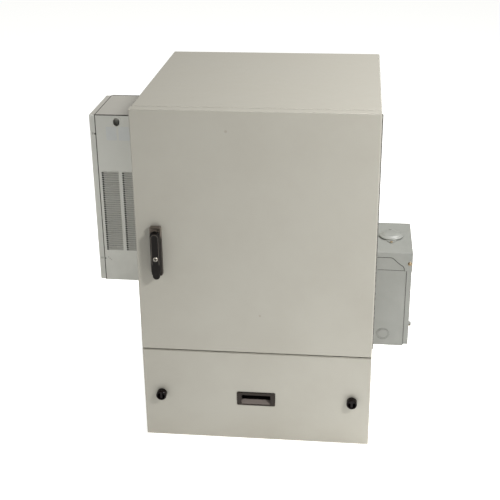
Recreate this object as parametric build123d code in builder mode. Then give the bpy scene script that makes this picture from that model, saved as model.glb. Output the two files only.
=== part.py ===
# Roadside utility cabinet: a folded sheet-metal cabinet with a hinged main door above a pull-out
# drawer, a louvred heat exchanger on its left side and a small load centre on its right side.
# Millimetres. X runs across the front, Y from front to back, Z up from the ground.
# The origin is the middle of the cabinet body's footprint on the ground.
import os
from math import cos, radians, sin, sqrt

from build123d import *

os.makedirs("parts", exist_ok=True)

# Cabinet body
body_width = 610.0
body_depth = 610.0
body_height = 930.0
sheet = 2.0                  # folded sheet of the body, the door and the drawer
bend_radius = 3.0
frame_flange = 25.0          # front frame seen around the openings
mid_rail_height = 50.0       # front rail between the two openings
lip_depth = 12.0             # inward lip around each opening
frame_return = 5.0           # front frame's fold along the sides, roof and floor
anchor_inset = 35.0          # base anchor holes, from the outer faces
anchor_hole_radius = 7.0
cable_entry_radius = 31.0
cable_entry_spacing = 150.0
cable_entry_inset = 45.0

# Door and drawer front, both folded pans that overlay the frame
split_height = 272.0         # middle of the gap between door and drawer front
split_gap = 3.0
floor_gap = 4.0
front_gap = 3.0              # between frame and pans, filled by seals and hinge leaves
pan_depth = 30.0
pan_return = 22.0            # flange folded inwards along the back of each pan

# Clearances
running_clearance = 0.05     # radial, pin or shaft in its bore
seat_gap = 0.3               # soft faces and sliding faces

# Seals
seal_width = 8.0
seal_inset = 1.5
seal_corner = 10.0
seal_round = 1.0

# Continuous hinge
hinge_stand_off = 1.0        # hinge axis outside the body's side face
hinge_margin = 8.0           # door height left free above and below the hinge
knuckle_radius = 2.5
knuckle_pitch = 25.4
knuckle_gap = 0.4
knuckle_relief = 0.5
hinge_pin_radius = 1.25
hinge_head_radius = 2.2
hinge_head_height = 1.2
leaf_thickness = 1.0
leaf_width = 14.0

# Swing handle
handle_inset = 53.5          # handle middle from the cabinet's left side
handle_height = 561.0        # middle of the housing above the ground
housing_width = 29.0
housing_length = 134.0
housing_thickness = 12.0
housing_corner = 4.0
housing_edge = 1.2
hub_rise = 43.0              # hub axis above the middle of the housing
hub_radius = 8.0
hub_spigot_radius = 5.0
boss_radius = 12.0
boss_length = 10.0
boss_clearance = 0.2
scoop_width = 25.0
scoop_length = 12.5
scoop_depth = 6.0
scoop_floor_width = 9.0
scoop_floor_length = 2.5
scoop_rim = 2.0
lever_width = 24.5
lever_tip_width = 18.6
lever_thickness = 12.4
lever_length = 132.0
lever_rise = 59.0            # lever's top above the middle of the housing
lever_neck = 14.0            # from the tip's end to where the lever widens
lever_shoulder = 8.0
lever_edge = 2.0
lever_crown_drop = 0.5       # lever's rounded outline below the top of its barrel
tongue_width = 10.0
tongue_radius = 5.0
tongue_drop = 6.0            # tongue's foot below the hub axis
tongue_swing = 1.4           # room below the foot as the lever lifts
pivot_pin_radius = 2.0
pivot_pin_length = 19.0
lock_drop = 16.0             # lock axis below the middle of the housing
lock_radius = 6.5
lock_proud = 0.3
keyway_width = 1.5
keyway_length = 8.0
keyway_depth = 3.0
keeper_depth = 4.0

# Latch behind the door
rod_travel = 20.0
rod_width = 16.0
rod_thickness = 3.0
rod_end_gap = 1.5            # rod end to the frame's edge
rod_end_chamfer = 3.0
cam_depth = 5.0              # cam's front face behind the body's front plane
cam_thickness = 3.0
cam_hub_radius = 9.0
cam_arm_width = 12.0
cam_arm_angle = 135.0
cam_pin_radius = 2.5
cam_pin_clearance = 0.65
rod_overhang = 8.0           # rod beyond its drive slot's middle
guide_width = 24.0
guide_plate = 2.0
guide_foot = 16.0
guide_inset = 32.0           # outer guides from the opening's edges
guide_near = 45.0            # inner guides from the hub axis

# Door stiffeners
stiffener_offset = 95.0
stiffener_width = 30.0
stiffener_depth = 18.0
stiffener_foot = 12.0
stiffener_sheet = 1.5
stiffener_end_gap = 20.0

# Quarter-turn knobs of the drawer
knob_inset = 48.0            # knob axis from the cabinet's side
knob_height = 137.0
knob_radius = 14.0
knob_length = 16.7
knob_edge = 2.5
knob_recess_radius = 10.5
knob_recess_depth = 11.0
knob_bar_width = 6.0
knob_bar_depth = 2.5         # driver bar below the knob's rim
knob_shaft_radius = 6.0
pawl_thickness = 3.0
pawl_width = 16.0
pawl_end_gap = 1.0
pawl_chamfer = 3.5
pawl_seat = 0.5              # pawl behind the frame sheet

# Recessed pull
pull_width = 104.0
pull_height = 41.0
pull_centre_height = 131.5
pull_flange = 2.5
pull_corner = 4.0
pull_mouth_width = 78.0
pull_mouth_height = 28.0
pull_mouth_drop = 2.0        # mouth's middle below the flange's middle
pull_wall = 2.0
pull_depth = 24.0
pull_undercut = 5.0
pull_slope_rise = 15.0

# Drawer tray and telescopic slides
tray_low = 28.0
tray_height = 64.0
tray_back_gap = 105.0        # tray's back wall to the body's back
slide_height = 53.0
slide_middle_height = 60.0   # slide centre line above the ground
slide_sheet = 1.6
slide_length = 500.0
slide_depth = 17.0
slide_bracket_length = 40.0
slide_bracket_height = 44.0

# Compartment divider
divider_flange = 20.0
divider_notch_width = 160.0
divider_notch_depth = 50.0

# Rack rails
rack_hole_spacing = 465.1    # across the two rails
rack_unit = 44.45
rack_hole_side = 9.5
rack_hole_first = 6.35
rack_hole_step = 15.875
rail_inner_edge = 225.0
rail_face_width = 20.0
rail_web = 30.0
rail_front_gap = 55.0        # rail face behind the body's front
rail_margin = 12.0           # rail beyond the outer holes' unit
rail_end_room = 20.0         # least room above and below the rails
bar_length = 480.0
bar_height = 30.0
bar_inset = 25.0             # side bars from the rail ends

# Ground bar
ground_bar_length = 240.0
ground_bar_height = 25.0
ground_bar_thickness = 6.0
ground_bar_above = 70.0      # above the divider
ground_post_radius = 8.0
ground_post_length = 15.0
ground_hole_radius = 3.5
ground_hole_count = 8

# Heat exchanger on the left side
exchanger_depth = 165.0      # out from the cabinet's side
exchanger_width = 203.0
exchanger_low = 360.0
exchanger_height = 486.0
exchanger_sheet = 1.5
exchanger_seal = 2.0
exchanger_seal_width = 12.0
cover_skirt = 15.5
cover_gap = 1.5              # dark line between cover and housing
cover_round = 4.0
collar_play = 0.3
collar_depth = 11.0
louvre_pitch = 6.5
louvre_rows = 36
louvre_width = 46.8
louvre_columns = 2
louvre_column_pitch = 56.9
louvre_low = 456.5           # lowest louvre above the ground
louvre_side = 8.2            # first column from the housing's outer edge
louvre_slot = 2.6
louvre_reach = 2.0
louvre_blade = 0.8
access_hole_width = 17.5
access_hole_height = 22.0
access_hole_from_edge = 57.5
access_hole_from_top = 19.5
port_slot_length = 88.0
port_slot_height = 6.0
port_slot_pitch = 12.0
port_rows = 7
core_width = 120.0
core_slots = 9
core_slot_width = 5.0
core_slot_pitch = 12.0
core_end_wall = 10.0
core_face_gap = 6.0
shelf_clearance = 1.5        # shelves beyond the louvred band
screw_head_radius = 3.2
screw_head_height = 1.5
exchanger_screw_low = 66.0
exchanger_screw_high = 53.0

# Fans
fan_size = 120.0
fan_depth = 38.0
fan_corner = 6.0
fan_bore_radius = 56.0
fan_motor_radius = 21.0
fan_arm_width = 5.0
fan_arm_angle = 45.0
fan_spider = 4.0
fan_end_room = 1.2           # rotor short of the frame's far face
fan_shaft_radius = 2.5
fan_hub_radius = 20.0
fan_blades = 7
fan_tip_gap = 1.5
fan_blade_thickness = 1.8
fan_blade_root = 22.0
fan_blade_tip = 34.0
fan_pitch_root = 50.0
fan_pitch_tip = 28.0
cabin_fan_drop = 85.0        # fan axis below the exchanger's top

# Load centre on the right side
load_depth = 105.7
load_width = 222.0
load_low = 189.0
load_height = 286.5
load_sheet = 1.5
skirt_low = 53.5             # deep part of the hood's skirt below the top
skirt_high = 13.5            # shallow part of the skirt below the top
skirt_step_in = 20.4         # deep part's width
skirt_step_end = (0.3, -1.0)   # direction in which the step's curve ends
skirt_curve_start = 61.7     # where the curve leaves the shallow part, from the front
cover_setback = 1.2          # cover face behind the hood's lip
cover_edge = 13.5            # folded edge of the cover
cover_rise = 5.0             # cover above the load centre's base
cover_pivot_drop = 31.1
cover_pivot_radius = 2.4
cover_pivot_head_radius = 5.0
cover_pivot_head = 2.2
cover_side_play = 0.3
cover_top = 2.5              # cover plate above its pivot axis
box_edge_gap = 0.5
hub_plate_thickness = 2.0
hub_plate_half_x = 36.0
hub_plate_half_y = 55.0
hub_plate_corner = 7.0
hub_dome_radius = 34.0
hub_dome_height = 11.0
hub_dome_round = 6.0
hub_inset = 48.0             # dome's middle from the cabinet's side
hub_screw_offset = 46.0
hub_back = 7.0               # dome's middle behind the load centre's middle
hub_screw_radius = 4.0
hub_screw_head = 2.5
knockout_radius = 14.0
knockout_outer_radius = 17.5
knockout_groove = 0.8
knockout_depth = 0.5
knockout_inset = 33.0
knockout_rise = 36.0
seam_drop = 51.5
latch_width = 14.0           # padlock tab above the cover's screw
latch_under = 10.0           # tab's underside above the cover's lower edge
latch_height = 6.5
latch_reach = 13.0
latch_lip = 2.5              # tab's thickness at its outer edge
latch_crest = 4.0            # flat top of the tab out from the cover
latch_screw_rise = 5.3       # above the cover's lower edge
latch_shank_radius = 3.0
latch_shank_length = 11.5
latch_screw_radius = 4.5
latch_screw_head = 6.5
pan_stand = 6.0
pan_half_width = 70.0
pan_rise = 40.0
pan_plate_height = 150.0
breaker_width = 25.4
breaker_height = 76.0
breaker_depth = 60.0
breaker_rise = 92.0
breaker_nose = 8.0
breaker_nose_height = 44.0
dead_front_rise = 22.0
dead_front_height = 200.0
dead_front_gap = 0.5
toggle_drum_radius = 9.0
toggle_width = 9.0
toggle_length = 19.0
toggle_thickness = 5.0
toggle_tilt = 20.0
toggle_play = 0.4
neutral_side = 8.0
neutral_hole_radius = 2
neutral_length = 110.0
neutral_offset = 50.0
nipple_radius = 14.0
nipple_wall = 2.0
nipple_reach = 20.0
nipple_height = 400.0
nipple_offset = 60.0
locknut_radius = 19.0
locknut_thickness = 4.0
locknut_lobes = 8

# Places worked out from the sizes above
half_width = body_width / 2
front = -body_depth / 2
back = body_depth / 2
inner_width = body_width - 2 * sheet
inner_depth = body_depth - 2 * sheet
frame_back = front + sheet
opening_half = half_width - frame_flange
upper_low = split_height + mid_rail_height / 2
upper_high = body_height - frame_flange
lower_low = frame_flange
lower_high = split_height - mid_rail_height / 2
pan_back = front - front_gap
pan_front = pan_back - pan_depth
pan_skin = pan_front + sheet
door_low = split_height + split_gap / 2
door_high = body_height
drawer_low = floor_gap
drawer_high = split_height - split_gap / 2


def front_plane(y, x=0.0):
    # Faces the viewer: sketch x is X from the given x, sketch y is Z
    return Plane(origin=(x, y, 0), x_dir=(1, 0, 0), z_dir=(0, -1, 0))


def side_plane(x):
    # Faces the right: sketch x is Y, sketch y is Z
    return Plane.YZ.offset(x)


# Cabinet body: a wrap of sides, back and roof, a folded front frame and a floor plate
exchanger_top = exchanger_low + exchanger_height
cabin_port_height = exchanger_top - cabin_fan_drop
return_port_height = exchanger_low + (louvre_low - exchanger_low) / 2
frame_fold = front + frame_return


def hollow_body(inside_low):
    with BuildPart() as body:
        with BuildSketch():
            Rectangle(body_width, body_depth)
        extrude(amount=body_height)
        fillet(body.edges().filter_by(Axis.Z), bend_radius)
        fillet(body.faces().sort_by(Axis.Z)[-1].edges(), bend_radius)
        with BuildSketch(Plane.XY.offset(inside_low)):
            Rectangle(inner_width, inner_depth)
        extrude(amount=body_height - sheet - inside_low, mode=Mode.SUBTRACT)
    return body.part


with BuildPart() as cabinet_shell:
    add(hollow_body(0))
    with BuildSketch(front_plane(frame_fold)):
        with Locations((0, body_height / 2)):
            Rectangle(body_width, body_height)
    extrude(amount=frame_return, mode=Mode.SUBTRACT)
    with BuildSketch(side_plane(-half_width)):
        with Locations((0, cabin_port_height), (0, return_port_height)):
            with GridLocations(1, port_slot_pitch, 1, port_rows):
                Rectangle(port_slot_length, port_slot_height)
    extrude(amount=sheet, mode=Mode.SUBTRACT)
    with BuildSketch(side_plane(half_width - sheet)):
        with Locations((nipple_offset, nipple_height)):
            Circle(nipple_radius)
    extrude(amount=sheet, mode=Mode.SUBTRACT)
cabinet_shell.part.label = "cabinet_shell"
export_step(cabinet_shell.part, "parts/cabinet_shell.step")

with BuildPart() as front_frame:
    add(hollow_body(sheet))
    with BuildSketch(front_plane(back)):
        with Locations((0, body_height / 2)):
            Rectangle(body_width, body_height)
    extrude(amount=body_depth - frame_return, mode=Mode.SUBTRACT)
    with BuildSketch(front_plane(frame_back)):
        for low, high in ((upper_low, upper_high), (lower_low, lower_high)):
            with Locations((0, (low + high) / 2)):
                Rectangle(2 * opening_half, high - low)
    extrude(amount=sheet, mode=Mode.SUBTRACT)
    with BuildSketch(front_plane(frame_back + lip_depth)):
        for low, high in ((upper_low, upper_high), (lower_low, lower_high)):
            with Locations((0, (low + high) / 2)):
                Rectangle(2 * (opening_half + sheet), high - low + 2 * sheet)
                Rectangle(2 * opening_half, high - low, mode=Mode.SUBTRACT)
    extrude(amount=lip_depth + sheet)
front_frame.part.label = "front_frame"
export_step(front_frame.part, "parts/front_frame.step")

with BuildPart() as cabinet_floor:
    floor_depth = back - sheet - frame_fold
    with BuildSketch():
        with Locations((0, frame_fold + floor_depth / 2)):
            Rectangle(inner_width, floor_depth)
        with GridLocations(body_width - 2 * anchor_inset, body_depth - 2 * anchor_inset, 2, 2):
            Circle(anchor_hole_radius, mode=Mode.SUBTRACT)
        with Locations((0, back - cable_entry_inset)):
            with GridLocations(cable_entry_spacing, 1, 2, 1):
                Circle(cable_entry_radius, mode=Mode.SUBTRACT)
    extrude(amount=sheet)
cabinet_floor.part.label = "cabinet_floor"
export_step(cabinet_floor.part, "parts/cabinet_floor.step")

# Compartment divider: a shelf with flanges folded down along the side walls and a cable notch
with BuildPart() as compartment_divider:
    with BuildSketch(Plane.XY.offset(split_height - sheet)):
        Rectangle(inner_width, inner_depth)
        with Locations((0, (inner_depth - divider_notch_depth) / 2)):
            Rectangle(divider_notch_width, divider_notch_depth, mode=Mode.SUBTRACT)
    extrude(amount=sheet)
    with BuildSketch(Plane.XY.offset(split_height - sheet - divider_flange)):
        with GridLocations(inner_width - sheet, 1, 2, 1):
            Rectangle(sheet, inner_depth - 2 * (lip_depth + seat_gap))
    extrude(amount=divider_flange)
compartment_divider.part.label = "compartment_divider"
export_step(compartment_divider.part, "parts/compartment_divider.step")


# Seals: rubber rings on the front frame around each opening
def seal_ring(low, high):
    seal_face = front_gap - seat_gap
    with BuildPart() as seal:
        with BuildSketch(front_plane(front)):
            with Locations((0, (low + high) / 2)):
                outer = seal_inset + seal_width
                RectangleRounded(2 * (opening_half + outer), high - low + 2 * outer, seal_corner)
                RectangleRounded(
                    2 * (opening_half + seal_inset),
                    high - low + 2 * seal_inset,
                    seal_corner - seal_width,
                    mode=Mode.SUBTRACT,
                )
        extrude(amount=seal_face)
        fillet(seal.faces().sort_by(Axis.Y)[0].edges(), seal_round)
    return seal.part


with BuildPart() as door_seal:
    add(seal_ring(upper_low, upper_high))
door_seal.part.label = "door_seal"
export_step(door_seal.part, "parts/door_seal.step")

with BuildPart() as drawer_seal:
    add(seal_ring(lower_low, lower_high))
drawer_seal.part.label = "drawer_seal"
export_step(drawer_seal.part, "parts/drawer_seal.step")

# Continuous hinge: two leaves in the gap between frame and door, with alternating knuckles
hinge_x = half_width + hinge_stand_off
hinge_y = front - front_gap / 2
knuckle_count = 2 * int((door_high - door_low - 2 * hinge_margin) / knuckle_pitch / 2) + 1
hinge_length = knuckle_count * knuckle_pitch
hinge_low = (door_low + door_high - hinge_length) / 2
knuckle_heights = [hinge_low + (i + 0.5) * knuckle_pitch for i in range(knuckle_count)]


def hinge_leaf(own_heights, other_heights, plate_y):
    with BuildPart() as leaf:
        with BuildSketch(Plane.XY.offset(hinge_low + knuckle_gap / 2)):
            with Locations((hinge_x - leaf_width / 2, plate_y)):
                Rectangle(leaf_width, leaf_thickness)
        extrude(amount=hinge_length - knuckle_gap)
        with Locations(*[(hinge_x, hinge_y, z) for z in other_heights]):
            Cylinder(knuckle_radius + knuckle_relief, knuckle_pitch + knuckle_gap, mode=Mode.SUBTRACT)
        with Locations(*[(hinge_x, hinge_y, z) for z in own_heights]):
            Cylinder(knuckle_radius, knuckle_pitch - knuckle_gap)
        with Locations((hinge_x, hinge_y, hinge_low + hinge_length / 2)):
            Cylinder(hinge_pin_radius + running_clearance, hinge_length, mode=Mode.SUBTRACT)
    return leaf.part


with BuildPart() as hinge_body_leaf:
    add(hinge_leaf(knuckle_heights[0::2], knuckle_heights[1::2], front - leaf_thickness / 2))
hinge_body_leaf.part.label = "hinge_body_leaf"
export_step(hinge_body_leaf.part, "parts/hinge_body_leaf.step")

with BuildPart() as hinge_door_leaf:
    add(hinge_leaf(knuckle_heights[1::2], knuckle_heights[0::2], pan_back + leaf_thickness / 2))
hinge_door_leaf.part.label = "hinge_door_leaf"
export_step(hinge_door_leaf.part, "parts/hinge_door_leaf.step")

with BuildPart() as hinge_pin:
    with Locations((hinge_x, hinge_y, hinge_low + hinge_length / 2)):
        Cylinder(hinge_pin_radius, hinge_length)
    head_offset = (hinge_length + hinge_head_height) / 2 - knuckle_gap / 2
    for end in (-1, 1):
        with Locations((hinge_x, hinge_y, hinge_low + hinge_length / 2 + end * head_offset)):
            Cylinder(hinge_head_radius, hinge_head_height)
hinge_pin.part.label = "hinge_pin"
export_step(hinge_pin.part, "parts/hinge_pin.step")


# Main door and drawer front: folded pans with a skin, four sides and a returned back flange
def folded_pan(low, high):
    height = high - low
    with BuildPart() as pan:
        with BuildSketch(front_plane(pan_back)):
            with Locations((0, (low + high) / 2)):
                Rectangle(body_width, height)
        extrude(amount=pan_depth)
        fillet(pan.edges().filter_by(Axis.Y, reverse=True), bend_radius)
        with BuildSketch(front_plane(pan_back - sheet)):
            with Locations((0, (low + high) / 2)):
                Rectangle(body_width - 2 * sheet, height - 2 * sheet)
        extrude(amount=pan_depth - 2 * sheet, mode=Mode.SUBTRACT)
        with BuildSketch(front_plane(pan_back)):
            with Locations((0, (low + high) / 2)):
                Rectangle(body_width - 2 * pan_return, height - 2 * pan_return)
        extrude(amount=sheet, mode=Mode.SUBTRACT)
    return pan.part


handle_x = -half_width + handle_inset
hub_height = handle_height + hub_rise

with BuildPart() as main_door:
    add(folded_pan(door_low, door_high))
    with BuildSketch(front_plane(pan_skin)):
        with Locations((handle_x, hub_height)):
            Circle(boss_radius + boss_clearance)
    extrude(amount=sheet, mode=Mode.SUBTRACT)
main_door.part.label = "main_door"
export_step(main_door.part, "parts/main_door.step")

# Door stiffeners: two upright hat sections welded to the back of the skin
with BuildPart() as door_stiffeners:
    with BuildSketch(Plane.XY.offset(door_low + pan_return + stiffener_end_gap)):
        for side in (-1, 1):
            with Locations((side * stiffener_offset, pan_skin + stiffener_depth / 2)):
                Rectangle(stiffener_width, stiffener_depth)
            with Locations((side * stiffener_offset, pan_skin + (stiffener_depth - stiffener_sheet) / 2)):
                Rectangle(
                    stiffener_width - 2 * stiffener_sheet,
                    stiffener_depth - stiffener_sheet,
                    mode=Mode.SUBTRACT,
                )
            with Locations((side * stiffener_offset, pan_skin + stiffener_sheet / 2)):
                with GridLocations(stiffener_width + stiffener_foot, 1, 2, 1):
                    Rectangle(stiffener_foot, stiffener_sheet)
    extrude(amount=door_high - door_low - 2 * (pan_return + stiffener_end_gap))
door_stiffeners.part.label = "door_stiffeners"
export_step(door_stiffeners.part, "parts/door_stiffeners.step")

# Handle housing: a shallow block on the door with a faceted scoop at its top
housing_face = pan_front - housing_thickness
lock_height = handle_height - lock_drop
scoop_height = handle_height + housing_length / 2 - scoop_rim - scoop_length / 2

with BuildPart() as handle_housing:
    with BuildSketch(front_plane(pan_front)):
        with Locations((handle_x, handle_height)):
            RectangleRounded(housing_width, housing_length, housing_corner)
    extrude(amount=housing_thickness)
    chamfer(handle_housing.faces().sort_by(Axis.Y)[0].edges(), housing_edge)
    with BuildSketch(front_plane(housing_face)):
        with Locations((handle_x, scoop_height)):
            Rectangle(scoop_width, scoop_length)
    with BuildSketch(front_plane(housing_face + scoop_depth)):
        with Locations((handle_x, scoop_height)):
            Rectangle(scoop_floor_width, scoop_floor_length)
    loft(mode=Mode.SUBTRACT)
    with BuildSketch(front_plane(pan_front + boss_length)):
        with Locations((handle_x, hub_height)):
            Circle(boss_radius)
    extrude(amount=boss_length)
    with BuildSketch(front_plane(pan_front + boss_length)):
        with Locations((handle_x, hub_height)):
            Circle(hub_radius + running_clearance)
    extrude(amount=boss_length + housing_thickness, mode=Mode.SUBTRACT)
    with BuildSketch(front_plane(housing_face + keeper_depth)):
        with Locations((handle_x, lock_height)):
            Circle(lock_radius)
    extrude(amount=keeper_depth, mode=Mode.SUBTRACT)
handle_housing.part.label = "handle_housing"
export_step(handle_housing.part, "parts/handle_housing.step")

# Handle hub: shaft through the housing with a tongue in front that carries the lever
lever_back = housing_face - seat_gap
lever_front = lever_back - lever_thickness
lever_top = handle_height + lever_rise
lever_bottom = lever_top - lever_length
pivot_y = lever_back - lever_thickness / 2
pivot_height = lever_top - lever_thickness / 2
cam_front = front + cam_depth
cam_back = cam_front + cam_thickness

with BuildPart() as handle_hub:
    with BuildSketch(front_plane(cam_front)):
        with Locations((handle_x, hub_height)):
            Circle(hub_radius)
    extrude(amount=cam_front - lever_back)
    with BuildSketch(front_plane(cam_back)):
        with Locations((handle_x, hub_height)):
            Circle(hub_spigot_radius)
    extrude(amount=cam_thickness)
    with BuildSketch(side_plane(handle_x - tongue_width / 2)):
        tongue_foot = hub_height - tongue_drop
        tongue_deep = lever_back - (pivot_y - tongue_radius)
        with Locations((lever_back - tongue_deep / 2, (tongue_foot + pivot_height) / 2)):
            Rectangle(tongue_deep, pivot_height - tongue_foot)
        with Locations((pivot_y, pivot_height)):
            Circle(tongue_radius)
            Circle(pivot_pin_radius, mode=Mode.SUBTRACT)
    extrude(amount=tongue_width)
handle_hub.part.label = "handle_hub"
export_step(handle_hub.part, "parts/handle_hub.step")

with BuildPart() as handle_pivot_pin:
    with BuildSketch(side_plane(handle_x - pivot_pin_length / 2)):
        with Locations((pivot_y, pivot_height)):
            Circle(pivot_pin_radius)
    extrude(amount=pivot_pin_length)
handle_pivot_pin.part.label = "handle_pivot_pin"
export_step(handle_pivot_pin.part, "parts/handle_pivot_pin.step")

# Handle lever: barrel-ended top round the pivot pin, narrow round tip, bore for the lock core
with BuildPart() as handle_lever:
    half_lever = lever_width / 2
    half_tip = lever_tip_width / 2
    crown_top = lever_top - lever_crown_drop
    crown = crown_top - half_lever
    neck = lever_bottom + lever_neck
    tip = lever_bottom + half_tip
    shoulder = neck + lever_shoulder
    with BuildSketch(front_plane(lever_back, handle_x)):
        with BuildLine():
            Polyline((half_lever, crown), (half_lever, shoulder), (half_tip, neck), (half_tip, tip))
            ThreePointArc((half_tip, tip), (0, lever_bottom), (-half_tip, tip))
            Polyline((-half_tip, tip), (-half_tip, neck), (-half_lever, shoulder), (-half_lever, crown))
            ThreePointArc((-half_lever, crown), (0, crown_top), (half_lever, crown))
        make_face()
    extrude(amount=lever_thickness)
    fillet(handle_lever.faces().sort_by(Axis.Y)[0].edges(), lever_edge)
    with BuildSketch(side_plane(handle_x - half_lever)):
        with Locations((pivot_y, pivot_height + lever_thickness / 2)):
            Rectangle(2 * lever_thickness, lever_thickness)
        with Locations((pivot_y, pivot_height)):
            Circle(lever_thickness / 2, mode=Mode.SUBTRACT)
    extrude(amount=lever_width, mode=Mode.SUBTRACT)
    slot_width = tongue_width + 2 * seat_gap
    slot_foot = hub_height - tongue_drop - tongue_swing
    slot_round = tongue_radius + seat_gap
    slot_deep = lever_back - pivot_y + slot_round
    with BuildSketch(side_plane(handle_x - slot_width / 2)):
        with Locations((lever_back - slot_deep / 2, (slot_foot + pivot_height) / 2)):
            Rectangle(slot_deep, pivot_height - slot_foot)
        with Locations((pivot_y, pivot_height)):
            Circle(slot_round)
        with Locations(((pivot_y + lever_back) / 2, pivot_height + slot_round / 2)):
            Rectangle(lever_back - pivot_y, slot_round)
    extrude(amount=slot_width, mode=Mode.SUBTRACT)
    with BuildSketch(side_plane(handle_x - half_lever)):
        with Locations((pivot_y, pivot_height)):
            Circle(pivot_pin_radius + running_clearance)
    extrude(amount=lever_width, mode=Mode.SUBTRACT)
    with BuildSketch(front_plane(lever_back)):
        with Locations((handle_x, lock_height)):
            Circle(lock_radius + running_clearance)
    extrude(amount=lever_thickness, mode=Mode.SUBTRACT)
handle_lever.part.label = "handle_lever"
export_step(handle_lever.part, "parts/handle_lever.step")

with BuildPart() as lock_core:
    with BuildSketch(front_plane(lever_back - seat_gap)):
        with Locations((handle_x, lock_height)):
            Circle(lock_radius)
    extrude(amount=lever_thickness - seat_gap + lock_proud)
    with BuildSketch(front_plane(lever_front - lock_proud + keyway_depth)):
        with Locations((handle_x, lock_height)):
            Rectangle(keyway_width, keyway_length)
    extrude(amount=keyway_depth, mode=Mode.SUBTRACT)
lock_core.part.label = "lock_core"
export_step(lock_core.part, "parts/lock_core.step")

# Latch cam: plate on the hub's end whose two pins ride in the rods' cross slots
cam_arm = rod_travel / 2            # pins stand 45 degrees off level at both ends of the turn
cam_orbit = cam_arm * sqrt(2)
rod_front = cam_back + seat_gap
rod_back = rod_front + rod_thickness

with BuildPart() as latch_cam:
    with BuildSketch(front_plane(cam_back)):
        with Locations((handle_x, hub_height)):
            Circle(cam_hub_radius)
            SlotCenterToCenter(2 * cam_orbit, cam_arm_width, rotation=cam_arm_angle)
            Circle(hub_spigot_radius, mode=Mode.SUBTRACT)
    extrude(amount=cam_thickness)
    with BuildSketch(front_plane(rod_back)):
        for side in (-1, 1):
            with Locations((handle_x + side * cam_arm, hub_height - side * cam_arm)):
                Circle(cam_pin_radius)
    extrude(amount=rod_back - cam_back)
latch_cam.part.label = "latch_cam"
export_step(latch_cam.part, "parts/latch_cam.step")

# Latch rods: flat bars with a cross slot at the cam end
rod_offset = (cam_arm + cam_orbit) / 2


def latch_rod(side, up, far_end):
    # side and up are -1 or 1; far_end is the height of the end that locks
    pin_height = hub_height + up * cam_arm
    near_end = pin_height - up * rod_overhang
    with BuildPart() as rod:
        with BuildSketch(front_plane(rod_back)) as outline:
            with Locations((handle_x + side * rod_offset, (near_end + far_end) / 2)):
                Rectangle(rod_width, abs(far_end - near_end))
            chamfer(outline.vertices().group_by(Axis.Y)[-1 if up > 0 else 0], rod_end_chamfer)
            with Locations((handle_x + side * rod_offset, pin_height)):
                SlotCenterToCenter(
                    cam_orbit - cam_arm,
                    2 * (cam_pin_radius + cam_pin_clearance),
                    mode=Mode.SUBTRACT,
                )
        extrude(amount=rod_thickness)
    return rod.part


with BuildPart() as upper_rod:
    add(latch_rod(-1, 1, upper_high - rod_end_gap))
upper_rod.part.label = "upper_rod"
export_step(upper_rod.part, "parts/upper_rod.step")

with BuildPart() as lower_rod:
    add(latch_rod(1, -1, upper_low + rod_end_gap))
lower_rod.part.label = "lower_rod"
export_step(lower_rod.part, "parts/lower_rod.step")

# Rod guides: angle brackets on the door's skin, each with a window for its rod
with BuildPart() as rod_guides:
    guide_back = rod_back + rod_thickness
    guide_places = (
        (-1, upper_high - guide_inset),
        (-1, hub_height + guide_near),
        (1, hub_height - guide_near),
        (1, upper_low + guide_inset),
    )
    for side, height in guide_places:
        x = handle_x + side * rod_offset
        with BuildSketch(Plane.XY.offset(height)):
            with Locations((x, (pan_skin + guide_back) / 2)):
                Rectangle(guide_width, guide_back - pan_skin)
            with Locations((x, (rod_front + rod_back) / 2)):
                Rectangle(
                    rod_width + 2 * seat_gap,
                    rod_thickness + 2 * seat_gap,
                    mode=Mode.SUBTRACT,
                )
        extrude(amount=guide_plate)
        with BuildSketch(Plane.XY.offset(height)):
            with Locations((x, pan_skin + guide_plate / 2)):
                Rectangle(guide_width, guide_plate)
        extrude(amount=guide_foot)
rod_guides.part.label = "rod_guides"
export_step(rod_guides.part, "parts/rod_guides.step")

# Drawer front: folded pan with the pull's cut-out and two shaft holes
knob_x = half_width - knob_inset
pull_body_height = pull_height - 2 * pull_wall
pull_body_width = pull_mouth_width + 2 * pull_wall

with BuildPart() as drawer_front:
    add(folded_pan(drawer_low, drawer_high))
    with BuildSketch(front_plane(pan_skin)):
        with Locations((0, pull_centre_height)):
            Rectangle(pull_body_width + 2 * seat_gap, pull_body_height + 2 * seat_gap)
        with Locations((-knob_x, knob_height), (knob_x, knob_height)):
            Circle(knob_shaft_radius + running_clearance)
    extrude(amount=sheet, mode=Mode.SUBTRACT)
drawer_front.part.label = "drawer_front"
export_step(drawer_front.part, "parts/drawer_front.step")

# Recessed pull: flange on the panel, sloping floor below and an undercut for the fingers above
with BuildPart() as pull_cup:
    pull_face = pan_front - pull_flange
    mouth_middle = pull_centre_height - pull_mouth_drop
    mouth_low = mouth_middle - pull_mouth_height / 2
    mouth_high = mouth_middle + pull_mouth_height / 2
    pull_back = pan_front + pull_depth
    with BuildSketch(front_plane(pan_front)):
        with Locations((0, pull_centre_height)):
            RectangleRounded(pull_width, pull_height, pull_corner)
    extrude(amount=pull_flange)
    chamfer(pull_cup.faces().sort_by(Axis.Y)[0].edges(), pull_flange / 2)
    with BuildSketch(front_plane(pull_back)):
        with Locations((0, pull_centre_height)):
            Rectangle(pull_body_width, pull_body_height)
    extrude(amount=pull_depth)
    with BuildSketch(side_plane(-pull_mouth_width / 2)):
        with BuildLine():
            Polyline(
                (pull_face, mouth_low),
                (pull_back - pull_wall - pull_flange, mouth_low + pull_slope_rise),
                (pull_back - pull_wall, mouth_high + pull_undercut),
                (pull_face + 2 * pull_flange, mouth_high + pull_undercut),
                (pull_face + 2 * pull_flange, mouth_high),
                (pull_face, mouth_high),
                close=True,
            )
        make_face()
    extrude(amount=pull_mouth_width, mode=Mode.SUBTRACT)
pull_cup.part.label = "pull_cup"
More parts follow.
